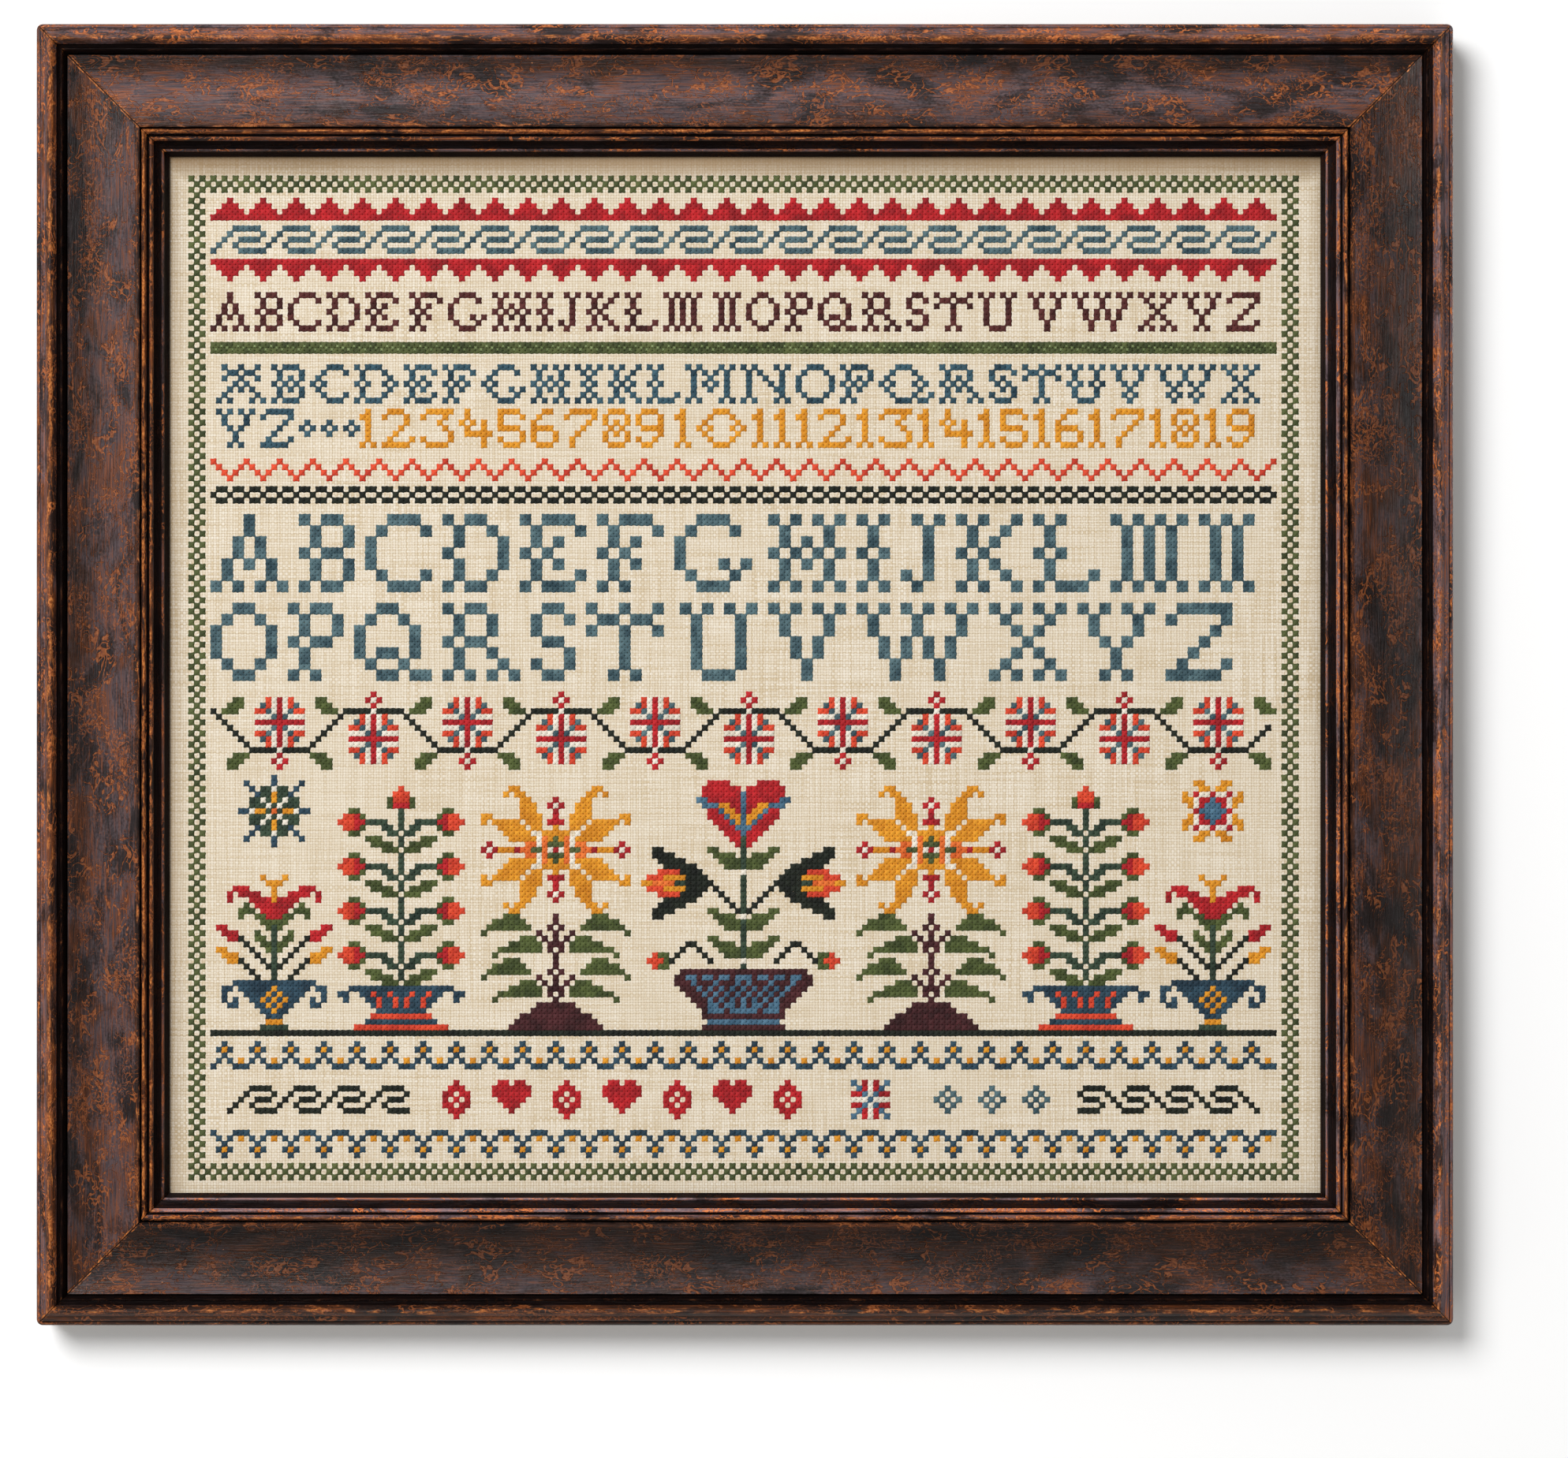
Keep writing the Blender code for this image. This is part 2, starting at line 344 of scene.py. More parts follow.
def moulding_section():
    """The rail's section as points, with the distance run round it so far."""
    rows = [(0.0, 0.0, 0.2, 0.3, 0.6), (0.0, 6 * MM, 0.25, 0.3, 0.0), (0.0, 12 * MM, 0.3, 0.2, 0.0)]
    edge = 0.0
    for member in MOULDING:
        for step in range(member.steps + 1):
            share = step / member.steps
            rise = math.sin(math.pi * share)
            height = member.start + (member.end - member.start) * share + member.crown * rise
            # A crown is worn most along its middle, and a groove is worn little.
            ends = 0.35 if member.crown <= 0 else 0.30 + 0.70 * math.sqrt(max(rise, 0.0))
            wear, soot = member.wear * ends, member.soot
            if member.name == "hollow panel":
                # The panel is worn at its inner edge, and painted shade darkens it against the quirks.
                wear = PANEL_EDGE_WEAR * (share > PANEL_WORN_FROM)
                soot = max(0.0, 0.55 - 10 * share, 8 * share - 7.3)
            rows.append(((edge + member.width * share) * MM, height * MM, wear, soot, 0.0))
        edge += member.width
    # The face that drops to the cloth is dark with painted shade, and the rebate and back are bare pine.
    inner = RAIL_WIDTH - REBATE_WIDTH
    rows += [
        (RAIL_WIDTH, 13.0 * MM, 0.0, 1.0, 0.0),
        (RAIL_WIDTH, REBATE_DEPTH, 0.0, 1.0, 0.0),
        (RAIL_WIDTH - 0.5 * MM, REBATE_DEPTH, 0.0, 0.0, 1.0),
        (inner, REBATE_DEPTH, 0.0, 0.0, 1.0),
        (inner, 0.0, 0.0, 0.0, 1.0),
        (inner / 2, 0.0, 0.0, 0.0, 1.0),
        (1.5 * MM, 0.0, 0.0, 0.2, 1.0),
    ]
    points, around = [], 0.0
    for row, before in zip(rows, [rows[0]] + rows[:-1]):
        around += math.hypot(row[0] - before[0], row[1] - before[1])
        points.append(SectionPoint(*row, around))
    return points


SECTION = moulding_section()
print(f"moulding {RAIL_WIDTH / MM:.1f} mm wide, {len(SECTION)} points round it")

# %% [markdown]
# Each rail is a skin over rings of section points. The rings stand close together near the mitres,
# where the chips and the rounded corner are, and 3.4 mm apart elsewhere. Low waves of noise dent the
# surface by a tenth of a millimetre, and crowns lose a little more where they are worn.

# %% The four rails and their wear
RING_PITCH = 3.4 * MM
END_RINGS = [distance * MM for distance in (0.0, 0.3, 0.7, 1.2, 1.8, 2.6, 3.8)]
DENT_DEPTH = 0.10 * MM
WORN_DEPTH = 0.30 * MM
# How light the glaze is painted on each rail, on its bead, at three places across the panel, and
# inside. These values paint light and shade as well as the glaze's tone.
GLAZE_PLACES = [place * MM for place in (5.0, 12.0, 22.0, 31.5, 38.0)]
Side = namedtuple("Side", "node length across turn warmth glaze seed")
SIDES = (
    Side("rail_top", FRAME_WIDTH, FRAME_HEIGHT, 0.0, 0.1, (1.5, 0.29, 1.00, 0.60, 1.10), 3.7),
    Side("rail_right", FRAME_HEIGHT, FRAME_WIDTH, math.pi / 2, -0.2, (1.8, 0.32, 0.33, 0.60, 1.6), 19.1),
    Side("rail_bottom", FRAME_WIDTH, FRAME_HEIGHT, math.pi, -0.5, (0.65, 0.58, 0.30, 0.18, 2.4), 41.3),
    Side("rail_left", FRAME_HEIGHT, FRAME_WIDTH, -math.pi / 2, 0.5, (1.3, 0.36, 0.70, 0.72, 0.90), 66.2),
)
# The outer flank stands square to the wall, and its glaze is painted darker, to this share.
FLANK_GLAZE = 0.4
MITRE_GAP = 0.02 * MM
MITRE_SOOT = 0.9
CHIP_REACH = 1.0 * MM
CHIPPED_WEAR = 0.58
DENT_SPAN = (16.0 * MM, 6.0 * MM)
NICK_SPAN = (6.0 * MM, 4.0 * MM)
NICK_SEED = 9.0
print("rails:", ", ".join(side.node for side in SIDES))

# %% Rings, noise and eased corners
CORNER_RADIUS = 2.0 * MM


def wave(along, across, span, seed):
    """Smooth noise between -1 and 1, with waves about as long and as wide as the span."""
    return noise.noise(Vector((along / span[0], across / span[1], seed)))


def ring_places(length):
    """Distances from the rail's left end, close together at both ends."""
    middle = length - 2 * END_RINGS[-1]
    count = round(middle / RING_PITCH)
    spread = [END_RINGS[-1] + middle * step / count for step in range(1, count)]
    return END_RINGS + spread + [length - distance for distance in reversed(END_RINGS)]


def ease_corner(across, up):
    """Rounds the frame's outer corners by turning nested squares into nested arcs."""
    out_x = abs(across) - (FRAME_WIDTH / 2 - CORNER_RADIUS)
    out_z = abs(up) - (FRAME_HEIGHT / 2 - CORNER_RADIUS)
    if out_x <= 0 or out_z <= 0:
        return across, up
    pull = max(out_x, out_z) / math.hypot(out_x, out_z)
    return (
        math.copysign(FRAME_WIDTH / 2 - CORNER_RADIUS + out_x * pull, across),
        math.copysign(FRAME_HEIGHT / 2 - CORNER_RADIUS + out_z * pull, up),
    )


def glaze_depth(side, inset):
    """How light the glaze is painted at a distance in from the outer edge, between its stated places: light
    and shade as well as the glaze's tone.
    """
    for number, (place, following) in enumerate(zip(GLAZE_PLACES, GLAZE_PLACES[1:])):
        if inset < following or following == GLAZE_PLACES[-1]:
            share = min(1.0, max(0.0, (inset - place) / (following - place)))
            return side.glaze[number] + (side.glaze[number + 1] - side.glaze[number]) * share


print("a long rail has", len(ring_places(FRAME_WIDTH)), "rings")

# %% One point of a rail
def place_along(side, place, inset):
    """A ring's distance from the rail's middle at an inset, so that the ends lean at 45 degrees."""
    share = place / side.length
    reach = side.length / 2 - inset - MITRE_GAP
    near_end = min(place, side.length - place)
    if near_end > END_RINGS[-1]:
        return (2 * share - 1) * reach
    return math.copysign(reach - near_end, share - 0.5)


def carve(side, place, spot):
    """One point of a rail, as (its position, the values for its finish, its place on the map)."""
    along = place_along(side, place, spot.inset)
    shown = 1.0 if spot.bare < 0.5 else 0.0
    dent = wave(along, spot.inset, DENT_SPAN, side.seed) * DENT_DEPTH * shown
    nick = max(0.0, wave(along, spot.inset, NICK_SPAN, side.seed + NICK_SEED))
    worn = nick * spot.wear * WORN_DEPTH * shown
    height = spot.height + (dent - worn) * (1.0 if spot.inset > 0 else 0.0)
    up = side.across / 2 - spot.inset
    cosine, sine = math.cos(side.turn), math.sin(side.turn)
    across, rise = ease_corner(along * cosine + up * sine, up * cosine - along * sine)
    near_end = min(place, side.length - place)
    chipped = CHIPPED_WEAR if 0.0 < near_end < CHIP_REACH < spot.inset else 0.0
    # The mitre faces are a dark joint; elsewhere the point keeps its painted shade.
    soot = MITRE_SOOT if near_end == 0.0 and shown else spot.soot
    on_flank = spot.inset == 0.0 and spot.height < MOULDING[0].start * MM
    # How light the glaze is painted here, which paints light and shade as well as the glaze's tone.
    depth = FLANK_GLAZE if on_flank else glaze_depth(side, spot.inset)
    looks = (max(spot.wear, chipped) * shown, soot, spot.bare, side.warmth, depth)
    return (CENTRE.x + across, -height, CENTRE.z + rise), looks, (along + side.seed, spot.around)


print("each point carries", ", ".join(LOOKS))

# %% Carve the rails
RAIL_CREASE = math.radians(42)


def skin_faces(rings, count):
    """The faces of a closed skin over rings of so many points each."""
    faces = [
        (ring * count + step, ring * count + (step + 1) % count,
         (ring + 1) * count + (step + 1) % count, (ring + 1) * count + step)
        for ring in range(rings - 1) for step in range(count)
    ]
    return faces + [tuple(range(count)), tuple(range((rings - 1) * count, rings * count))]


def make_rail(side):
    """One rail, carved, dented and worn, in the place of its solid."""
    places = ring_places(side.length)
    carved = [carve(side, place, spot) for place in places for spot in SECTION]
    points, looks, maps = zip(*carved)
    mesh = bpy.data.meshes.new(side.node)
    mesh.from_pydata(points, [], skin_faces(len(places), len(SECTION)))
    skin = bmesh.new()
    skin.from_mesh(mesh)
    bmesh.ops.recalc_face_normals(skin, faces=skin.faces)
    skin.to_mesh(mesh)
    skin.free()
    rail_map = mesh.uv_layers.new(name="rail_map")
    for loop in mesh.loops:
        rail_map.data[loop.index].uv = maps[loop.vertex_index]
    for column, name in enumerate(LOOKS):
        values = mesh.attributes.new(name, "FLOAT", "POINT")
        values.data.foreach_set("value", [look[column] for look in looks])
    mesh.shade_smooth()
    mesh.set_sharp_from_angle(angle=RAIL_CREASE)
    rail = new_piece(f"carved_{side.node}", mesh, RAIL_FINISH)
    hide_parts(side.node)
    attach(rail, "root")
    return rail


for side in SIDES:
    made = make_rail(side)
    print(made.name, len(made.data.polygons), "faces")

# %% [markdown]
# ## The backing board
# The board is pressed brown fibre, cut to drop into the rebate behind the linen. Its solid already
# has the right shape, so it only gets a finish: fibres are fine noise, and patches are broad noise.

# %% The board's finish
# Each pattern's size in millimetres, and its detail.
BOARD_PATTERNS = {"fibre": (1.2, 6.0), "fleck": (5.0, 3.0), "stain": (90.0, 3.0)}
BOARD_LAYERS = {
    "fibre": Layer({"fibre": 1.0}, 0.3, 0.7, 1.0, "a98760", "b79670", "fleck"),
    "fleck": Layer({"fleck": 1.0}, 0.62, 0.75, 1.0, "6f5236", "7d5f41", "fibre"),
    "stain": Layer({"stain": 1.0}, 0.2, 0.9, 0.6, "94734f", "a58561", "fibre"),
}


def pressed_board():
    """Pressed fibre board: matt, warm brown, with a faint felted fleck."""
    material, tree, shader = new_material("pressed_fibre_board")
    place = add(tree, "ShaderNodeTexCoord").outputs["Object"]
    fields = {
        name: add(tree, NOISE, {"Vector": place, "Scale": 1 / (size * MM), "Detail": detail})
        for name, (size, detail) in BOARD_PATTERNS.items()
    }
    colour, _ = lay_colours(tree, fields, linear("8a6a48"), BOARD_LAYERS)
    tree.links.new(colour.outputs[2], shader.inputs["Base Color"])
    shader.inputs["Roughness"].default_value = 0.85
    bump = add(tree, "ShaderNodeBump", {"Height": fields["fibre"], "Strength": 0.4, "Distance": 0.2 * MM})
    tree.links.new(bump.outputs[0], shader.inputs["Normal"])
    return material


BOARD_FINISH = pressed_board()
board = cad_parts["backing_board"]
board.material_slots[0].material = BOARD_FINISH
print("board:", BOARD_FINISH.name)

# %% [markdown]
# ## The linen
# The linen is even-weave: 28 threads to the inch, pulled a hair longer down than across, so that a
# stitch over two threads is the same size everywhere. It could be woven from real strands, but some
# 166,000 crossings are more than a mesh should carry, so the sheet is a thin closed slab with a
# slight ripple, and its threads are colour and bump. The stitches sit in the same grid: every
# needle hole is a gap between threads. The whole grid lies a little low and left in the frame.

# %% The stitch grid and the cloth's surface
THREAD_ACROSS = 25.4 * MM / 28
THREAD_DOWN = 25.53 * MM / 28
CELL_WIDTH = 2 * THREAD_ACROSS
CELL_HEIGHT = 2 * THREAD_DOWN
COLUMNS = 201
ROWS = 181
GRID_SHIFT_LEFT = 0.5 * MM
GRID_SHIFT_DOWN = 1.03 * MM
GRID_LEFT = CENTRE.x - GRID_SHIFT_LEFT - COLUMNS * CELL_WIDTH / 2
GRID_TOP = CENTRE.z - GRID_SHIFT_DOWN + ROWS * CELL_HEIGHT / 2
RIPPLE = 0.12 * MM
CLOTH_THICKNESS = 1.0 * MM


def cloth_front(x, z):
    """Where the cloth's front lies at a place on it: nearly flat, with slow ripples."""
    wide = wave(x, z, (110.0 * MM, 80.0 * MM), 2.0)
    small = wave(x, z, (22.0 * MM, 30.0 * MM), 7.0)
    return linen_low.y + RIPPLE * (1.0 + 0.7 * wide + 0.3 * small)


print(f"stitched area {COLUMNS * CELL_WIDTH / MM:.1f} x {ROWS * CELL_HEIGHT / MM:.1f} mm")

# %% [markdown]
# The cloth's colour has layers too. Threads are thick and thin, so their noise is drawn out along
# them. The gaps between threads are darker, and old stains are broad. In the last millimetres beside
# the wood the cloth is darkened brown, partly browned by the wood and partly a painted shadow of the
# frame, most of all along the top and the left.

# %% The linen's layers and edges
LINEN_LAYERS = {
    "thread": Layer({"thread": 1.0}, 0.30, 0.66, 1.0, "e5dac7", "ede5d6", "fibres"),
    "stain": Layer({"stain": 1.0}, 0.30, 0.80, 0.50, "d9cab0", "ded3bf", "fibres"),
    "gap": Layer({"pillow": 1.0}, 0.66, 0.0, 0.75, "8a6f4c", "a88e68", "thread"),
    # Browning beside the wood, and a painted shadow of the frame.
    "browning_and_shadow": Layer({"edge": 1.0, "thread": -0.2}, -0.10, 0.90, 0.90, "785d3a", "907452", "stain"),
}
# Patterns to the metre. Threads stray over 11 mm. Single fibres are too fine to show, so the noise
# draws clumps of them, 0.4 mm wide.
STRAYS = 90.0
STRAY_REACH = 0.45 * MM
LINEN_FIBRES = 2600.0
Edge = namedtuple("Edge", "axis place reach depth")
# How far each side's darkening reaches and how deep it is: browning by the wood and a painted shadow of the
# frame, deepest at the top and left.
BROWNED_AND_SHADED_EDGES = (
    Edge("Z", CENTRE.z + SIGHT_HEIGHT / 2, -11.0 * MM, 1.0),
    Edge("X", CENTRE.x - SIGHT_WIDTH / 2, 7.5 * MM, 0.62),
    Edge("X", CENTRE.x + SIGHT_WIDTH / 2, -6.0 * MM, 0.40),
    Edge("Z", CENTRE.z - SIGHT_HEIGHT / 2, 3.0 * MM, 0.05),
)


print("the cloth has", len(LINEN_LAYERS), "layers and", len(BROWNED_AND_SHADED_EDGES), "browned edges")

# %% The weave and the browned edges as fields
def plain_weave(tree, place):
    """How full a thread is at a place, and whether the warp or the weft lies on top there."""
    wander = add(tree, NOISE, {"Vector": place, "Scale": STRAYS, "Detail": 3.0}).outputs["Color"]
    wander = add(tree, VECTOR_MATH, {0: wander, 1: (0.5, 0.5, 0.5)}, operation="SUBTRACT")
    moved = add(tree, VECTOR_MATH, {0: wander, 1: (STRAY_REACH,) * 3, 2: place}, operation="MULTIPLY_ADD")
    # Half a turn of each sine is one thread, counted from the grid's corner.
    corner = (-GRID_LEFT, 0.0, -GRID_TOP)
    turns = add(tree, "ShaderNodeMapping", {"Vector": moved, "Location": corner})
    half_turns = (math.pi / THREAD_ACROSS, 0.0, math.pi / THREAD_DOWN)
    turns = add(tree, VECTOR_MATH, {0: turns, 1: half_turns}, operation="MULTIPLY")
    waves = add(tree, "ShaderNodeSeparateXYZ", {0: add(tree, VECTOR_MATH, {0: turns}, operation="SINE")})
    over = add(tree, MATH, {0: waves.outputs["X"], 1: waves.outputs["Z"]}, operation="MULTIPLY")
    size = add(tree, MATH, {0: over}, operation="ABSOLUTE")
    pillow = add(tree, MATH, {0: size, 1: 0.45}, operation="POWER")
    warp_up = add(tree, RANGE, {"Value": over, "From Min": -0.05, "From Max": 0.05})
    return pillow, warp_up


def near_frame(tree, place):
    """How near a place lies to the wood, which browns the cloth and paints the frame's shadow on it, more on
    some sides than others.
    """
    axes = add(tree, "ShaderNodeSeparateXYZ", {0: place})
    nearness = 0.0
    for edge in BROWNED_AND_SHADED_EDGES:
        near = add(
            tree, RANGE,
            {"Value": axes.outputs[edge.axis], "From Min": edge.place + edge.reach,
             "From Max": edge.place, "To Max": edge.depth},
        )
        nearness = add(tree, MATH, {0: near, 1: nearness}, operation="MAXIMUM")
    return nearness


print(f"threads are {THREAD_ACROSS / MM:.3f} mm apart across and {THREAD_DOWN / MM:.3f} mm down")

# %% The linen's material
def even_weave():
    """Bleached linen in plain weave: round slubby threads, pale on top and tan in the gaps."""
    material, tree, shader = new_material("even_weave_linen")
    place = add(tree, "ShaderNodeTexCoord").outputs["Object"]
    pillow, warp_up = plain_weave(tree, place)
    # How wide and how high each kind of streak is, in millimetres.
    streaks = {"weft": (24.0, 0.9), "warp": (0.9, 30.0), "stain": (90.0, 70.0)}
    fields = {"pillow": pillow, "edge": near_frame(tree, place)}
    for name, (along, down) in streaks.items():
        scale = (1 / (along * MM), 1.0, 1 / (down * MM))
        stretch = add(tree, "ShaderNodeMapping", {"Vector": place, "Scale": scale})
        fields[name] = add(tree, NOISE, {"Vector": stretch, "Scale": 1.0, "Detail": 3.0})
    fields["thread"] = add(tree, MIX, {0: warp_up, 2: fields["weft"], 3: fields["warp"]}, data_type="FLOAT")
    fields["fibres"] = add(tree, NOISE, {"Vector": place, "Scale": LINEN_FIBRES, "Detail": 2.0})
    colour, _ = lay_colours(tree, fields, linear("cdb997"), LINEN_LAYERS)
    tree.links.new(colour.outputs[2], shader.inputs["Base Color"])
    height = add(tree, MATH, {0: fields["thread"], 1: 0.8, 2: fields["pillow"]}, operation="MULTIPLY_ADD")
    height = add(tree, MATH, {0: fields["fibres"], 1: 0.2, 2: height}, operation="MULTIPLY_ADD")
    bump = add(tree, "ShaderNodeBump", {"Height": height, "Strength": 0.35, "Distance": 0.12 * MM})
    tree.links.new(bump.outputs[0], shader.inputs["Normal"])
    shader.inputs["Roughness"].default_value = 0.9
    shader.inputs["Sheen Weight"].default_value = 0.10
    shader.inputs["Sheen Roughness"].default_value = 0.5
    return material


LINEN_FINISH = even_weave()
print("finish:", LINEN_FINISH.name, len(LINEN_FINISH.node_tree.nodes), "nodes")

# %% Weave the cloth
SHEET_STEP = 5.0 * MM
SHEET_CREASE = math.radians(50)


def make_sheet():
    """The linen as a closed slab: a front and a back grid joined round the edge."""
    wide, tall = linen_high.x - linen_low.x, linen_high.z - linen_low.z
    columns, rows = round(wide / SHEET_STEP), round(tall / SHEET_STEP)
    sheet = bmesh.new()
    sides = []
    for depth in (0.0, CLOTH_THICKNESS):
        grid = []
        for row in range(rows + 1):
            z = linen_low.z + tall * row / rows
            for column in range(columns + 1):
                x = linen_low.x + wide * column / columns
                grid.append(sheet.verts.new((x, cloth_front(x, z) + depth, z)))
        sides.append(grid)
    for grid in sides:
        for row in range(rows):
            for column in range(columns):
                corner = row * (columns + 1) + column
                sheet.faces.new([grid[corner + step] for step in (0, 1, columns + 2, columns + 1)])
    rim = [edge for edge in sheet.edges if edge.is_boundary]
    bmesh.ops.bridge_loops(sheet, edges=rim)
    bmesh.ops.recalc_face_normals(sheet, faces=sheet.faces)
    mesh = bpy.data.meshes.new("linen")
    sheet.to_mesh(mesh)
    sheet.free()
    mesh.shade_smooth()
    mesh.set_sharp_from_angle(angle=SHEET_CREASE)
    return mesh, wide, tall


sheet_mesh, SHEET_WIDTH, SHEET_HEIGHT = make_sheet()
linen = new_piece("linen_cloth", sheet_mesh, LINEN_FINISH)
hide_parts("sampler_linen")
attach(linen, "root")
print(f"linen {SHEET_WIDTH / MM:.1f} x {SHEET_HEIGHT / MM:.1f} mm, {len(sheet_mesh.polygons)} faces")

# %% [markdown]
# ## Reading a chart
# A stitcher works from a chart: squared paper with one sign to a stitch. The same is done here. A
# dictionary holds the sign of each stitch by column and row, and small charts are text, a sign to a
# stitch and a dot for bare cloth. Most motifs mirror themselves, so only a half or a quarter is
# charted. This is far shorter than placing stitches one by one, and it can be read as a picture.

# %% The cottons and the chart
Cotton = namedtuple("Cotton", "name dark light")
COTTONS = {
    "g": Cotton("moss_green", "30391d", "5d6639"),
    "r": Cotton("red", "88121a", "c42027"),
    "a": Cotton("slate", "263f49", "5c777d"),
    "n": Cotton("brown", "35100f", "5e2a28"),
    "t": Cotton("teal", "1b3542", "3d5f6d"),
    "y": Cotton("gold", "c47a15", "e69d27"),
    "c": Cotton("coral", "b5301f", "e8502f"),
    "k": Cotton("black_green", "0b0f0a", "1f261b"),
    "b": Cotton("urn_blue", "172c3a", "335061"),
    "d": Cotton("dark_green", "1f2e25", "3c4f3c"),
    "l": Cotton("leaf_green", "333d1d", "586433"),
    "m": Cotton("maroon", "2c0f12", "502327"),
    "s": Cotton("bowl_blue", "2d4f67", "557b93"),
    "o": Cotton("orange", "c9541c", "f08038"),
    "w": Cotton("white", "d2c9b8", "efe7d8"),
    "v": Cotton("pale_green", "56663a", "8c9a68"),
}
BARE = "."
FIRST = 4
LAST = COLUMNS - 1 - FIRST
chart = {}


def work(rows, column, row, sign=None, mirror=False):
    """Copies rows of signs to the chart. A mirrored chart's last column is its middle, at column."""
    for step, line in enumerate(rows):
        for place, mark in enumerate(line):
            if mark == BARE:
                continue
            where = column - (len(line) - 1 - place) if mirror else column + place
            for spot in {where, 2 * column - where if mirror else where}:
                if FIRST <= spot <= LAST:
                    chart[spot, row + step] = sign or mark


def run(row, first, last, sign):
    """One straight line of stitches."""
    work([sign * (last - first + 1)], first, row)


print(len(COTTONS), "cottons")

# %% [markdown]
# ## Borders and bands
# A chequered border frames the sampler, and bands cross it: rows of points, running scrolls, a
# plain green band, a zigzag and a barred band. All are old repeats that any sampler may carry. Each
# is a rule that is repeated, so a loop works it for the whole width.

# %% The chequered border and the bands of points
BORDER = 3
for row in range(ROWS):
    for column in range(COLUMNS):
        near_edge = min(column, row, COLUMNS - 1 - column, ROWS - 1 - row) < BORDER
        if near_edge and (column + row) % 2 == 0:
            chart[column, row] = "g"

POINT_ROWS = ["...r..", "..rrr.", ".rrrrr", "rrrrrr"]
UPPER_POINTS = 4
LOWER_POINTS = 15
for column in range(FIRST, LAST, len(POINT_ROWS[0])):
    work(POINT_ROWS, column, UPPER_POINTS)
    work(POINT_ROWS[::-1], column, LOWER_POINTS)
for row in (UPPER_POINTS + len(POINT_ROWS) - 1, LOWER_POINTS):
    run(row, FIRST, LAST, "r")
print(len(chart), "stitches after the border and points")

# %% The scrolls, zigzag, barred band and green band
SCROLL = [
    "....#####.",
    "...#.....#",
    "..#..####.",
    ".#..#.....",
    "#....#####",
]
SCROLL_ROW = 9
SCROLL_PITCH = 9
for column in range(FIRST, LAST - SCROLL_PITCH, SCROLL_PITCH):
    work(SCROLL, column, SCROLL_ROW, "a")
# Only the start of one more scroll fits before the border.
work([line[:4] for line in SCROLL], LAST - 3, SCROLL_ROW, "a")

GREEN_ROWS = (30, 31)
ZIGZAG_ROW = 51
ZIGZAG_PITCH = 6
BARRED_ROW = 57
BAR_PITCH = 3
GROUND_ROW = 154
for column in range(FIRST, LAST + 1):
    turn = (column - FIRST) % ZIGZAG_PITCH
    chart[column, ZIGZAG_ROW + min(turn, ZIGZAG_PITCH - turn)] = "c"
    between_bars = (column - FIRST) % BAR_PITCH == 0
    rows = (BARRED_ROW,) if between_bars else (BARRED_ROW - 1, BARRED_ROW + 1)
    for row in rows:
        chart[column, row] = "k"
for row in GREEN_ROWS:
    run(row, FIRST, LAST, "g")
run(GROUND_ROW, FIRST, LAST, "k")
print(len(chart), "stitches after the bands")

# %% [markdown]
# ## Alphabets and numerals
# A sampler practised letters for marking household linen: here a plain alphabet, a second one with
# small diamonds worked into its letters, the numerals, and the plain alphabet again in blocks of
# two by two stitches. The letters are charted seven stitches high and spread over their line.

